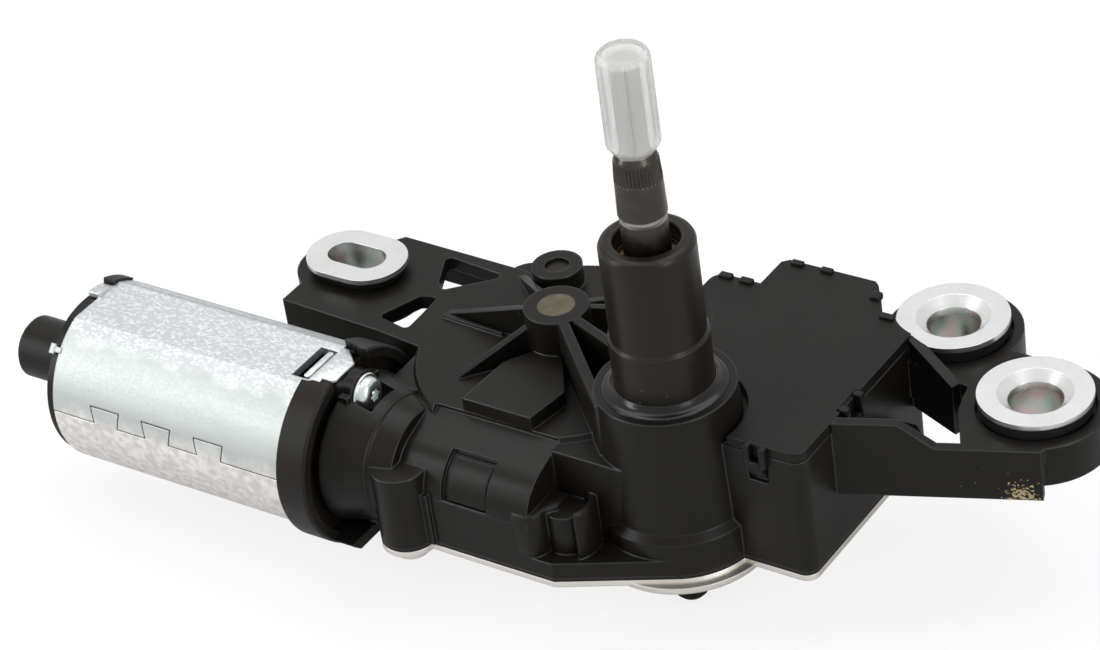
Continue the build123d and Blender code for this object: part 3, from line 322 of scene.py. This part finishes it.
def drawn_out(outline, low, high, along="Z"):
    """A straight-sided solid, in millimetres; one drawn out along X has a (Y, Z) outline."""
    bm = bmesh.new()
    rings = []
    for level in (low, high):
        points = [(a, b, level) if along == "Z" else (level, a, b) for a, b in outline]
        rings.append([bm.verts.new(Vector(point) * mm) for point in points])
    for i in range(len(outline)):
        j = (i + 1) % len(outline)
        bm.faces.new((rings[0][i], rings[0][j], rings[1][j], rings[1][i]))
    bm.faces.new(rings[0][::-1])
    bm.faces.new(rings[1])
    bmesh.ops.recalc_face_normals(bm, faces=bm.faces)
    return bm


shallow = math.radians(28)


def made(name, bm):
    """An object from a finished mesh, smooth across its shallow edges."""
    mesh = bpy.data.meshes.new(name)
    bm.to_mesh(mesh)
    bm.free()
    mesh.shade_smooth()
    mesh.set_sharp_from_angle(angle=shallow)
    piece = bpy.data.objects.new(name, mesh)
    scene.collection.objects.link(piece)
    return piece


def dressed(piece, body, material, stands_for=None):
    """Fixes a piece to its body and gives it its finish."""
    piece.data.materials.clear()
    piece.data.materials.append(material)
    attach(piece, body)
    if stands_for is not None:
        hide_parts(stands_for)


def note_normals(mesh):
    """Writes the corner normals down, so that a cut doesn't lose them."""
    notes = mesh.attributes.new("noted_normal", "FLOAT_VECTOR", "CORNER")
    notes.data.foreach_set("vector", [c for corner in mesh.corner_normals for c in corner.vector])


def reshaped(piece, operation, solid):
    """Joins a solid to a piece, or cuts it away, and throws the solid away."""
    tool = made("tool", solid)
    note_normals(tool.data)
    step = piece.modifiers.new("step", "BOOLEAN")
    step.operation = operation
    step.object = tool
    step.solver = "EXACT"
    seen = piece.evaluated_get(bpy.context.evaluated_depsgraph_get())
    mesh = bpy.data.meshes.new_from_object(seen)
    piece.modifiers.clear()
    piece.data = mesh
    bpy.data.objects.remove(tool)


def noted_shading(mesh):
    """Shades a mesh by its noted normals, turned to face outward."""
    mesh.shade_smooth()
    notes = mesh.attributes["noted_normal"].data
    normals = [Vector()] * len(mesh.loops)
    for face in mesh.polygons:
        for k in face.loop_indices:
            noted = Vector(notes[k].vector)
            if noted.dot(face.normal) < 0:
                noted.negate()
            kept = noted.dot(face.normal) > 0.5 * noted.length
            normals[k] = noted.normalized() if kept else face.normal.copy()
    mesh.normals_split_custom_set(normals)


def rib_plan(start, end, thick):
    """Plan of a straight rib between two points."""
    run = Vector(end) - Vector(start)
    side = Vector((-run.y, run.x)).normalized() * thick / 2
    first, last = Vector(start), Vector(end)
    return [tuple(first - side), tuple(last - side), tuple(last + side), tuple(first + side)]


def rounded_edges(bm, width, steps=3):
    """Rounds every edge of a solid."""
    bmesh.ops.bevel(bm, geom=list(bm.edges), offset=width * mm, segments=steps, profile=0.5,
                    affect="EDGES")
    return bm


def copied(node):
    """An object with a copy of a node's mesh, closed up, with its normals noted."""
    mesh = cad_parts[node].data.copy()
    note_normals(mesh)
    bm = bmesh.new()
    bm.from_mesh(mesh)
    bmesh.ops.remove_doubles(bm, verts=bm.verts, dist=1e-6)
    bm.to_mesh(mesh)
    bm.free()
    piece = bpy.data.objects.new(node + "_shell", mesh)
    scene.collection.objects.link(piece)
    return piece


def turned_piece(rows, place, steps=48, along="Z", open_ring=False):
    """A turned solid, from rows of a level and a radius, or a radius by angle.

    An open ring has no ends: its last row joins its first.
    """
    bm = bmesh.new()
    rings = []
    for level, radius in rows:
        ring = []
        for i in range(steps):
            angle = 2 * math.pi * i / steps
            r = radius(angle) if callable(radius) else radius
            a, b = r * math.cos(angle), r * math.sin(angle)
            point = (a, b, level) if along == "Z" else (level, a, b)
            ring.append(bm.verts.new((Vector(point) + Vector(place)) * mm))
        rings.append(ring)
    if open_ring:
        rings.append(rings[0])
    for lower, upper in zip(rings, rings[1:]):
        for i in range(steps):
            j = (i + 1) % steps
            bm.faces.new((lower[i], lower[j], upper[j], upper[i]))
    if not open_ring:
        bm.faces.new(rings[0][::-1])
        bm.faces.new(rings[-1])
    bmesh.ops.recalc_face_normals(bm, faces=bm.faces)
    return bm


housing_shell = copied("gear_housing")

# the worm tube runs up to the dome's top in one smooth shoulder
shoulder = ((-20.58, -15.89), (-12.3, -13.2))
above = [shoulder[0], shoulder[1], (-12.3, -4.0), (-20.58, -4.0)]
below = [shoulder[0], shoulder[1], (-11.8, -14.3), (-15.8, -15.9), (-18.0, -17.6)]
reshaped(housing_shell, "DIFFERENCE", drawn_out(above, -52.0, -20.4, "X"))
reshaped(housing_shell, "UNION", drawn_out(below, -54.0, -20.5, "X"))

# the foot carries on round the pocket's screw boss, with a curved wall behind the boss
pocket_floor = -34.5
foot_end = [(-24.5, -27.55), (-20.6, -27.5), (-19.2, -26.7), (-18.4, -25.0), (-18.2, -23.0),
            (-16.5, -21.0), (-16.5, -16.0), (-22.6, -16.0), (-22.6, -24.3), (-24.5, -24.3)]
reshaped(housing_shell, "UNION", rounded_edges(drawn_out(foot_end, pocket_floor, -22.8), 0.6))


def arc(centre, radius, angles):
    """Points on an arc; the angles are in degrees."""
    turns = [math.radians(angle) for angle in angles]
    return [(centre[0] + radius * math.cos(a), centre[1] + radius * math.sin(a)) for a in turns]


pocket_boss = (-16.0, -19.4)
pocket_bend = range(-40, 121, 16)
pocket_wall = arc(pocket_boss, 6.9, pocket_bend) + arc(pocket_boss, 5.2, reversed(pocket_bend))
reshaped(housing_shell, "UNION", rounded_edges(drawn_out(pocket_wall, pocket_floor, -21.8), 0.5))

# the two deep ribs from the pin's boss to the collar, and a low one on the dome's plate
boss_axis = (-37.6, 15.5)
rib_top = -0.55
deep_ribs = (((-8.9, -11.7), -14.6, 2.5), ((-14.2, 6.7), -13.0, 2.3))
for end, low, thick in deep_ribs:
    direction = (Vector(end) - Vector(boss_axis)).normalized()
    start = Vector(boss_axis) + direction * 6.0
    deep_rib = drawn_out(rib_plan(start, end, thick), low, rib_top)
    reshaped(housing_shell, "UNION", rounded_edges(deep_rib, 0.4))
low_rib = drawn_out(rib_plan((-69.6, 15.4), (-52.6, 14.6), 1.0), -13.2, -11.5)
reshaped(housing_shell, "UNION", rounded_edges(low_rib, 0.3))

noted_shading(housing_shell.data)
arm_scuff = (0.0700, 0.0222, -0.0243)
housing_black = moulded_black("housing_black", (0.0066, 0.0058, 0.0048), (0.0110, 0.0098, 0.0084),
                              0.36, 0.00035, 0.0006, scuff=arm_scuff)
dressed(housing_shell, "housing", housing_black, "gear_housing")

# one moulded ridge round the motor's neck
can_axis = (-17.5, -25.4)
ridge_rows = [(-60.8, 12.8), (-60.7, 13.9), (-60.3, 14.4), (-59.8, 14.5), (-59.3, 14.2),
              (-58.9, 13.6), (-58.8, 12.6)]
ridge_bm = turned_piece(ridge_rows, (0.0, *can_axis), 64, "X", open_ring=True)
dressed(made("neck_ridge", ridge_bm), "housing", housing_black)


# ---------------------------------------------------------------- electronics lid
# A flat moulded lid, a little duller than the housing, snapped over the circuit board by hooks
# along its rear edges and two clips. A small web reaches in between the dome and the collar.
lid_black = moulded_black("lid_black", (0.0058, 0.0057, 0.0048), (0.0090, 0.0088, 0.0077), 0.42,
                          0.0005, 0.0003)
finish("electronics_lid", lid_black)


def joined(first, second):
    """Puts one mesh's solids beside another's in one mesh."""
    spare = bpy.data.meshes.new("spare")
    second.to_mesh(spare)
    second.free()
    first.from_mesh(spare)
    bpy.data.meshes.remove(spare)


def oblong(x0, y0, x1, y1):
    """Plan of a rectangle."""
    return [(x0, y0), (x1, y0), (x1, y1), (x0, y1)]


# each hook's middle, length and width
hooks = ((-13.8, 46.6, 3.2, 1.8), (-8.6, 46.6, 3.2, 1.8), (-1.6, 56.9, 3.0, 1.6),
         (5.8, 56.9, 3.0, 1.6), (20.5, 52.6, 2.2, 2.6), (26.5, 46.6, 3.4, 1.8))
hook_bm = bmesh.new()
for x, y, long, wide in hooks:
    plan = oblong(x - long / 2, y - wide / 2, x + long / 2, y + wide / 2)
    joined(hook_bm, rounded_edges(drawn_out(plan, -7.4, -5.7), 0.35))
dressed(made("lid_hooks", hook_bm), "housing", lid_black)

# the web runs along the collar and back along the dome's rim
dome_rim = 33.4
web = [(-15.2, 6.3), (-13.0, 9.9), (-10.0, 13.0), (-7.0, 14.9), (-4.3, 16.0)]
web += arc(boss_axis, dome_rim, range(3, 48, 4)) + [(-15.2, 39.8)]
dressed(made("lid_web", drawn_out(web, -8.9, -6.55)), "housing", lid_black)

# the two clips' bars: two corners in plan and two levels
clip_bars = ((21.5, -4.9, 25.1, -2.4, -13.6, -10.6), (20.6, -5.2, 22.2, -2.6, -11.6, -6.4),
             (24.4, -5.2, 26.0, -2.6, -11.6, -6.4), (33.0, 13.4, 35.2, 15.2, -12.0, -6.2),
             (33.0, 19.3, 35.2, 21.1, -12.0, -6.2), (33.0, 14.4, 35.0, 20.2, -14.0, -10.8))
clip_bm = bmesh.new()
for x0, y0, x1, y1, low, high in clip_bars:
    joined(clip_bm, rounded_edges(drawn_out(oblong(x0, y0, x1, y1), low, high), 0.45))
dressed(made("lid_clips", clip_bm), "housing", lid_black)


# ---------------------------------------------------------------- motor can
# Rolled and dovetailed sheet steel, hot-dip zinc coated: frosty crystals on the top flat, a
# smooth greenish grey on the round side and a mottled grey under the joint.
def distance_from(nodes, links, place, across, axis):
    """How far a point is from an axis that is given in millimetres."""
    squares = []
    for letter, at in zip(across, axis):
        run = worked(nodes, links, "SUBTRACT", place[letter], at * mm)
        squares.append(worked(nodes, links, "POWER", run, 2.0))
    return worked(nodes, links, "SQRT", worked(nodes, links, "ADD", *squares))


def spangled_zinc(name):
    """Hot-dip zinc in three looks, parted by height; the sunk seam is darkened with painted shade.
    """
    top_flat = (-0.0088, -0.0070)
    under_joint = (-0.0200, -0.0245)
    dark_line_y = -0.0087
    seam_radius = (0.02066, 0.02058)
    seam_top = (-0.0172, -0.0180)
    dark_line = (0.22, 0.22, 0.21)
    seam_shade = (0.06, 0.06, 0.055)
    grey_mark = (0.30, 0.29, 0.27)
    material, nodes, links, shader = start_finish(name)
    place = axes(nodes, links)
    wander = speckle(nodes, links, 130.0, 4.0)
    drift = spread(nodes, links, wander.outputs["Fac"], 0.3, 0.7, -0.0012, 0.0012)
    height = worked(nodes, links, "ADD", place["Z"], drift)
    on_flat = spread(nodes, links, height, *top_flat, 0.0, 1.0)
    low_down = spread(nodes, links, height, *under_joint, 0.0, 1.0)
    cells = speckle(nodes, links, 2100.0, stretch=(0.6, 1.0, 1.0), kind="ShaderNodeTexVoronoi")
    crystal = nodes.new("ShaderNodeSeparateColor")
    links.new(cells.outputs["Color"], crystal.inputs["Color"])
    frost = speckle(nodes, links, 1900.0, 5.0)
    cloud = speckle(nodes, links, 620.0, 8.0)
    streak = speckle(nodes, links, 300.0, 3.0, (0.10, 1.0, 1.0))
    smooth = tinted(nodes, links, streak.outputs["Fac"], (0.46, 0.49, 0.475), (0.56, 0.59, 0.575))
    bright = spread(nodes, links, crystal.outputs["Red"], 0.45, 1.05, 0.0, 1.0)
    frosty = tinted(nodes, links, bright, (0.60, 0.62, 0.635), (0.84, 0.87, 0.90))
    mottled = tinted(nodes, links, spread(nodes, links, cloud.outputs["Fac"], 0.38, 0.62, 0.0, 1.0),
                     (0.70, 0.68, 0.67), (0.88, 0.86, 0.85))
    tone = tinted(nodes, links, on_flat, smooth, frosty)
    tone = tinted(nodes, links, low_down, tone, mottled)
    # a thin darker line runs along the top flat at a fixed Y
    from_dark_line = worked(nodes, links, "SUBTRACT", place["Y"], dark_line_y)
    off_dark_line = worked(nodes, links, "ABSOLUTE", from_dark_line)
    dark_line_mask = worked(nodes, links, "MULTIPLY", on_flat,
                    spread(nodes, links, off_dark_line, 0.00022, 0.00008, 0.0, 0.8))
    tone = tinted(nodes, links, dark_line_mask, tone, dark_line)
    # the sunk seam, below its top line, is darkened with painted shade
    out = distance_from(nodes, links, place, ("Y", "Z"), can_axis)
    seam_shade_mask = worked(nodes, links, "MULTIPLY", spread(nodes, links, out, *seam_radius, 0.0, 0.9),
                  spread(nodes, links, place["Z"], *seam_top, 0.0, 1.0))
    tone = tinted(nodes, links, seam_shade_mask, tone, seam_shade)
    marks = worked(nodes, links, "MULTIPLY", flecks(nodes, links, 500.0, 0.09, 0.58), 0.55)
    tone = tinted(nodes, links, marks, tone, grey_mark)
    links.new(tone, shader.inputs["Base Color"])
    shader.inputs["Metallic"].default_value = 1.0
    rough = spread(nodes, links, frost.outputs["Fac"], 0.3, 0.7, 0.40, 0.50)
    duller = worked(nodes, links, "MULTIPLY", worked(nodes, links, "SUBTRACT", 1.0, on_flat), 0.12)
    links.new(worked(nodes, links, "ADD", rough, duller), shader.inputs["Roughness"])
    rounded = soft_edges(nodes, 0.0005)
    grainy = worked(nodes, links, "MULTIPLY", crystal.outputs["Green"], on_flat)
    normal = bumped(nodes, links, grainy, 0.00006, 0.5, rounded)
    normal = bumped(nodes, links, frost.outputs["Fac"], 0.00002, 0.35, normal)
    links.new(normal, shader.inputs["Normal"])
    return material


can_zinc = spangled_zinc("can_zinc")
finish("yoke", can_zinc)


def rim_plate(first, last, inner, outer, x0, x1):
    """A small plate that follows the can's rim, between two angles in degrees."""
    angles = [180.0 - first - (last - first) * i / 5 for i in range(6)]
    plan = arc(can_axis, outer, angles) + arc(can_axis, inner, reversed(angles))
    return drawn_out(plan, x0, x1, "X")


hem = oblong(-79.7, -22.3, -78.0, -12.7)
can_bits = rounded_edges(drawn_out(hem, -8.0, -6.0), 0.5)
tongue = [(-77.6, -24.6), (-75.7, -24.6), (-71.6, -20.8), (-71.6, -14.2), (-75.7, -10.4),
          (-77.6, -10.4)]
joined(can_bits, rounded_edges(drawn_out(tongue, -6.9, -6.05), 0.2))
# the rim's tabs: first and last angle, inner and outer radius, and the two ends along the can
rim_tabs = ((43.2, 46.8, 20.2, 20.95, -143.6, -141.5), (41.8, 48.2, 20.2, 21.0, -144.6, -143.2),
            (92.0, 106.0, 18.9, 20.2, -144.8, -141.6))
for tab in rim_tabs:
    joined(can_bits, rim_plate(*tab))
dressed(made("can_tabs", can_bits), "housing", can_zinc)


# ---------------------------------------------------------------- end shields
# The rear cap and the brush holder's rim are plain black mouldings, smoother than the housing.
# The rim is open at the top, where the can's tongue is folded down over it.
shield_black = moulded_black("shield_black", (0.0090, 0.0080, 0.0070), (0.0150, 0.0135, 0.0120),
                             0.40, 0.0003, 0.0005)
finish("rear_cap", shield_black)
ring_shell = copied("brush_holder")
gap = [(-77.6, -25.4), (-75.6, -25.4), (-73.0, -24.0), (-69.0, -24.0), (-69.0, -11.0),
       (-73.0, -11.0), (-75.6, -9.6), (-77.6, -9.6)]
reshaped(ring_shell, "DIFFERENCE", drawn_out(gap, -6.95, 0.0))
noted_shading(ring_shell.data)
dressed(ring_shell, "housing", shield_black, "brush_holder")
cap_corner = made("cap_corner", rim_plate(108.0, 126.0, 19.0, 21.3, -145.0, -141.7))
dressed(cap_corner, "housing", shield_black)


# ---------------------------------------------------------------- rubber pieces
# Moulded black rubber, dull and slightly grey where it was handled. The ring at the tower's
# foot is glossy and runs out to the collar in a soft fillet.
rubber_black = moulded_black("rubber_black", (0.0080, 0.0076, 0.0070), (0.0150, 0.0140, 0.0130),
                             0.55, 0.0004, 0.0005, 0.5)
for name in ("grommet_left", "grommets_right", "shaft_plug", "cover_gasket"):
    finish(name, rubber_black)
ring_black = moulded_black("ring_black", (0.004, 0.004, 0.004), (0.007, 0.007, 0.007), 0.20,
                           0.0006, 0.0003, 0.1, 0.32)
finish("foot_ring", ring_black)
shaft_foot = (0.0, 0.0, 0.0)
fillet_rows = [(0.02, 10.8), (1.9, 10.8), (1.55, 11.1), (1.0, 11.5), (0.6, 12.0), (0.35, 12.7),
               (0.2, 13.3), (0.02, 13.5)]
fillet_bm = turned_piece(fillet_rows, shaft_foot, 72, open_ring=True)
dressed(made("foot_fillet", fillet_bm), "housing", ring_black)


# ---------------------------------------------------------------- mounting sleeves
# Formed steel sleeves with wide rolled flanges and a bright zinc plate, satin on the flange
# and faintly rainbow in the bores.
def bright_zinc(name, tone_a, tone_b, gloss, depth=None, edge=0.0004, dents=0.25):
    """Plated metal; below depth, in metres, the plate turns greenish and pink."""
    greenish, pink = (0.44, 0.58, 0.53), (0.62, 0.44, 0.42)
    grey_fleck = (0.40, 0.39, 0.38)
    material, nodes, links, shader = start_finish(name)
    cloud = speckle(nodes, links, 120.0, 4.0)
    fine = speckle(nodes, links, 2400.0, 3.0)
    tone = tinted(nodes, links, cloud.outputs["Fac"], tone_a, tone_b)
    if depth is not None:
        patches = speckle(nodes, links, 210.0, 2.0)
        hue = spread(nodes, links, patches.outputs["Fac"], 0.35, 0.65, 0.0, 1.0)
        rainbow = tinted(nodes, links, hue, greenish, pink)
        inside = spread(nodes, links, axes(nodes, links)["Z"], depth, depth - 0.0020, 0.0, 0.85)
        tone = tinted(nodes, links, inside, tone, rainbow)
    marks = worked(nodes, links, "MULTIPLY", flecks(nodes, links, 700.0, 0.10, 0.58), 0.4)
    tone = tinted(nodes, links, marks, tone, grey_fleck)
    links.new(tone, shader.inputs["Base Color"])
    shader.inputs["Metallic"].default_value = 1.0
    links.new(spread(nodes, links, fine.outputs["Fac"], 0.3, 0.7, gloss - 0.03, gloss + 0.05),
              shader.inputs["Roughness"])
    rounded = soft_edges(nodes, edge)
    normal = bumped(nodes, links, cloud.outputs["Fac"], 0.00010, dents, rounded)
    links.new(bumped(nodes, links, fine.outputs["Fac"], 0.000005, 0.10, normal),
              shader.inputs["Normal"])
    return material


sleeve_zinc = bright_zinc("sleeve_zinc", (0.76, 0.77, 0.77), (0.93, 0.93, 0.93), 0.30, -0.0102,
                          0.0001)
finish("sleeve_left", sleeve_zinc)
finish("sleeves_right", sleeve_zinc)


# ---------------------------------------------------------------- motor screws
# Two plated pan-head screws with a flange and a six-lobed drive. Each runs from a boss on the
# housing's neck, through the brush holder's rim, to the can's end.
def lobed(angle):
    """The drive's six-lobed outline."""
    return 1.28 + 0.24 * math.cos(6 * angle)


screw_zinc = bright_zinc("screw_zinc", (0.70, 0.77, 0.75), (0.84, 0.89, 0.88), 0.30,
                         edge=0.00008, dents=0.05)
screw_bm = bmesh.new()
screw_rows = [(-76.8, 1.4), (-76.2, 2.0), (-67.4, 2.0), (-67.4, 4.0), (-67.3, 4.4), (-66.9, 4.5),
              (-66.6, 4.3), (-66.55, 3.75), (-66.0, 3.7), (-65.4, 3.5), (-64.9, 3.05), (-64.6, 2.4),
              (-64.5, 1.75), (-64.5, lobed), (-65.6, lobed),
              (-65.7, lambda angle: 0.5 * lobed(angle))]
screw_offset = 15.0
for side in (screw_offset, -screw_offset):
    joined(screw_bm, turned_piece(screw_rows, (0.0, can_axis[0], can_axis[1] + side), 48, "X"))
dressed(made("motor_screw_pair", screw_bm), "housing", screw_zinc, "motor_screws")


# ---------------------------------------------------------------- metal cover
# A thin pressed plate with an aluminium coat, screwed on from below. It bulges under the
# output shaft and, less deeply, under the electronics.
cover_bright = bright_zinc("cover_bright", (0.72, 0.69, 0.65), (0.90, 0.87, 0.83), 0.42)
finish("cover_plate", cover_bright)
finish("cover_screws", cover_bright)
pan_rows = [(-38.9, 20.4), (-40.3, 20.1), (-41.1, 19.4), (-41.5, 18.4), (-41.6, 17.0)]
pan_bm = turned_piece(pan_rows, shaft_foot, 72)
box_pan = [(12.0, -1.0), (28.0, -1.0), (31.5, 3.0), (31.5, 36.0), (22.0, 44.5), (2.0, 44.5),
           (2.0, 16.0)]
joined(pan_bm, rounded_edges(drawn_out(box_pan, -42.2, -39.0), 1.2, 4))
dressed(made("cover_pans", pan_bm), "housing", cover_bright)


# ---------------------------------------------------------------- tower
# A separate black sleeve pushed over the housing's neck, smoother than the housing. The small
# vent plug behind the wheel's boss is moulded from the same plastic.
tower_black = moulded_black("tower_black", (0.0085, 0.0068, 0.0050), (0.0130, 0.0106, 0.0082),
                            0.32, 0.0003, 0.0007, shine=0.26)
finish("tower_sleeve", tower_black)
finish("breather", tower_black)


# ---------------------------------------------------------------- output shaft
# Case-hardened steel, blackened: a ground journal, a groove, a knurled cone for the
# arm, and a rolled thread for its nut. Two narrow bands at the grooves are painted paler as
# glints.
def even_finish(name, tone_a, tone_b, gloss, metallic=0.85, scale=300.0, stretch=(1.0, 1.0, 1.0),
                edge=0.0002, glints=()):
    """Metal, nylon or board: two tones, roughness, the size and lie of its marks, and bands painted
    paler as glints.
    """
    painted_glint = (0.42, 0.40, 0.37)
    material, nodes, links, shader = start_finish(name)
    cloud = speckle(nodes, links, scale, 5.0, stretch)
    fine = speckle(nodes, links, 2200.0, 3.0)
    tone = tinted(nodes, links, cloud.outputs["Fac"], tone_a, tone_b)
    # each band in glints is painted paler, as a glint
    for low, high in glints:
        level = axes(nodes, links)["Z"]
        above = spread(nodes, links, level, low - 0.0001, low, 0.0, 0.8)
        below = spread(nodes, links, level, high, high + 0.0001, 1.0, 0.0)
        glint_band = worked(nodes, links, "MULTIPLY", above, below)
        tone = tinted(nodes, links, glint_band, tone, painted_glint)
    links.new(tone, shader.inputs["Base Color"])
    shader.inputs["Metallic"].default_value = metallic
    links.new(spread(nodes, links, cloud.outputs["Fac"], 0.3, 0.7, gloss - 0.06, gloss + 0.08),
              shader.inputs["Roughness"])
    rounded = soft_edges(nodes, edge)
    normal = bumped(nodes, links, cloud.outputs["Fac"], 0.00003, 0.3, rounded)
    links.new(bumped(nodes, links, fine.outputs["Fac"], 0.00002, 0.4, normal),
              shader.inputs["Normal"])
    return material


def knurled(radius, depth):
    """A ring with fine teeth along the shaft."""
    return lambda angle: radius - depth * (0.5 - 0.5 * math.cos(36 * angle))


def rolled_thread(level, pitch=1.25, crest=3.9, depth=0.62):
    """A ring of the thread at one level; its ridge climbs a pitch in each turn."""
    def radius(angle):
        phase = (level / pitch - angle / (2 * math.pi)) % 1.0
        return crest - depth * min(1.0, max(0.0, abs(2 * phase - 1.0) * 1.25 - 0.12))
    return radius


shaft_rows = [(-42.0, 4.4), (-41.4, 5.0), (-36.45, 5.0), (-36.4, 4.4), (-35.2, 4.4), (-35.15, 5.0),
              (41.4, 5.0), (41.7, 4.5), (42.5, 4.5), (43.0, 5.2), (45.0, 5.16), (50.4, 5.02),
              (50.9, 5.0)]
shaft_rows += [(51.2 + 0.35 * i, knurled(5.02 - 0.022 * i, 0.34)) for i in range(13)]
shaft_rows += [(55.8, 4.66), (56.4, 4.45), (57.0, 4.15), (57.3, 3.95), (57.6, 4.02), (58.0, 4.02),
               (58.3, 3.6)]
thread_levels = [58.4 + 0.156 * i for i in range(119)]
shaft_rows += [(level, rolled_thread(level)) for level in thread_levels]
shaft_rows += [(77.1, 3.25), (78.0, 2.9)]
shaft_black = even_finish("shaft_black", (0.040, 0.036, 0.032), (0.085, 0.078, 0.070), 0.30,
                          edge=0.00008, glints=((0.0415, 0.0424), (0.0573, 0.0578)))
shaft_bm = turned_piece(shaft_rows, shaft_foot, 180)
dressed(made("turned_shaft", shaft_bm), "output", shaft_black, "output_shaft")


# ---------------------------------------------------------------- shaft cap
# A push-on cap of clear plastic with ten soft flutes, which guards the thread until the arm
# is fitted.
def clear_plastic(name):
    """Slightly milky clear plastic."""
    water_white = (0.99, 0.99, 0.98, 1.0)
    material, nodes, links, shader = start_finish(name)
    cloud = speckle(nodes, links, 260.0, 3.0)
    shader.inputs["Base Color"].default_value = water_white
    shader.inputs["Transmission Weight"].default_value = 0.62
    shader.inputs["IOR"].default_value = 1.42
    links.new(spread(nodes, links, cloud.outputs["Fac"], 0.3, 0.7, 0.05, 0.14),
              shader.inputs["Roughness"])
    links.new(bumped(nodes, links, cloud.outputs["Fac"], 0.00008, 0.3), shader.inputs["Normal"])
    return material


def fluted(radius, depth):
    """A ring with ten rounded flutes."""
    return lambda angle: radius - depth * (1.0 - abs(math.cos(5 * angle)) ** 0.5)


cap_rows = [(78.7, 0.5), (78.8, 3.4), (78.4, 4.15), (58.1, 4.15), (58.1, 4.6), (58.4, 4.9),
            (59.4, 5.55), (60.0, fluted(5.7, 0.12)), (61.0, fluted(5.7, 0.60)),
            (78.2, fluted(5.62, 0.60)), (79.3, fluted(5.55, 0.35)), (80.0, 5.15), (80.4, 4.7),
            (80.48, 3.8), (80.45, 2.0), (80.4, 0.5)]
cap_clear = clear_plastic("cap_clear")
cap_bm = turned_piece(cap_rows, shaft_foot, 120)
dressed(made("fluted_cap", cap_bm), "cap", cap_clear, "shaft_cap")


# ---------------------------------------------------------------- wheel pin
# The worm wheel turns on a steel pin that is fixed in the housing. The pin's end shows at the
# top of its boss, as turned, with a thin yellow plate.
def turned_face(name, centre, tone_a, tone_b):
    """Metal with fine turned rings round an upright axis."""
    material, nodes, links, shader = start_finish(name)
    place = axes(nodes, links)
    out = distance_from(nodes, links, place, ("X", "Y"), centre)
    rings = worked(nodes, links, "SINE", worked(nodes, links, "MULTIPLY", out, 9000.0))
    cloud = speckle(nodes, links, 500.0, 4.0)
    tone = tinted(nodes, links, cloud.outputs["Fac"], tone_a, tone_b)
    tone = tinted(nodes, links, spread(nodes, links, rings, -1.0, 1.0, 0.0, 0.5), tone, tone_a)
    links.new(tone, shader.inputs["Base Color"])
    shader.inputs["Metallic"].default_value = 0.9
    shader.inputs["Roughness"].default_value = 0.36
    links.new(bumped(nodes, links, rings, 0.00003, 0.5), shader.inputs["Normal"])
    return material


pin_yellow = turned_face("pin_yellow", boss_axis, (0.075, 0.068, 0.045), (0.22, 0.20, 0.13))
finish("wheel_pin", pin_yellow)


# ---------------------------------------------------------------- crank drive
# Inside the housing: a nylon worm wheel with a pressed-in crank pin, a toothed rod and a
# link of stamped steel, and a sintered pinion on the shaft.
stamped_steel = even_finish("stamped_steel", (0.34, 0.34, 0.34), (0.50, 0.50, 0.50), 0.32)
for name in ("toothed_rod", "link_plate", "circlip"):
    finish(name, stamped_steel)
ground_steel = even_finish("ground_steel", (0.50, 0.50, 0.51), (0.62, 0.62, 0.63), 0.20)
for name in ("crank_pin", "pivot_pin", "armature_shaft"):
    finish(name, ground_steel)
sintered = even_finish("sintered", (0.20, 0.19, 0.18), (0.32, 0.31, 0.30), 0.48, scale=1200.0)
finish("output_pinion", sintered)
nylon = even_finish("nylon", (0.72, 0.70, 0.62), (0.82, 0.80, 0.73), 0.42, metallic=0.0,
                    scale=90.0)
finish("worm_wheel", nylon)
bronze = even_finish("bronze", (0.34, 0.22, 0.11), (0.52, 0.36, 0.19), 0.42, scale=1400.0)
for name in ("shaft_bushes", "rear_bush", "front_bush"):
    finish(name, bronze)


# ---------------------------------------------------------------- armature and brushes
# Laminated core on the worm shaft, enamelled copper coils, a slotted copper commutator with
# two carbon brushes, and two ferrite magnets in the can.
laminated = even_finish("laminated", (0.16, 0.16, 0.17), (0.34, 0.34, 0.35), 0.40, scale=1500.0,
                        stretch=(1.0, 0.02, 0.02))
finish("armature_core", laminated)
enamelled = even_finish("enamelled", (0.38, 0.11, 0.04), (0.66, 0.26, 0.10), 0.28, scale=1300.0,
                        stretch=(0.05, 1.0, 1.0))
finish("windings", enamelled)
worn_copper = even_finish("worn_copper", (0.46, 0.20, 0.10), (0.72, 0.38, 0.22), 0.30,
                          scale=700.0, stretch=(1.0, 0.1, 0.1))
finish("commutator", worn_copper)
ferrite = even_finish("ferrite", (0.035, 0.035, 0.037), (0.065, 0.065, 0.067), 0.55, metallic=0.2)
finish("magnets", ferrite)
carbon = even_finish("carbon", (0.018, 0.018, 0.019), (0.035, 0.035, 0.036), 0.50, metallic=0.1)
finish("brushes", carbon)


# ---------------------------------------------------------------- circuit board and pins
# A green fibre board in the housing's tray, under the lid. Its tinned blades stand in the open
# connector socket at the housing's side.
board_green = even_finish("board_green", (0.012, 0.075, 0.024), (0.022, 0.120, 0.040), 0.30,
                          metallic=0.0, scale=380.0, stretch=(1.0, 0.12, 1.0))
finish("circuit_board", board_green)
tinned = even_finish("tinned", (0.62, 0.61, 0.58), (0.78, 0.77, 0.74), 0.24, scale=900.0)
finish("connector_pins", tinned)
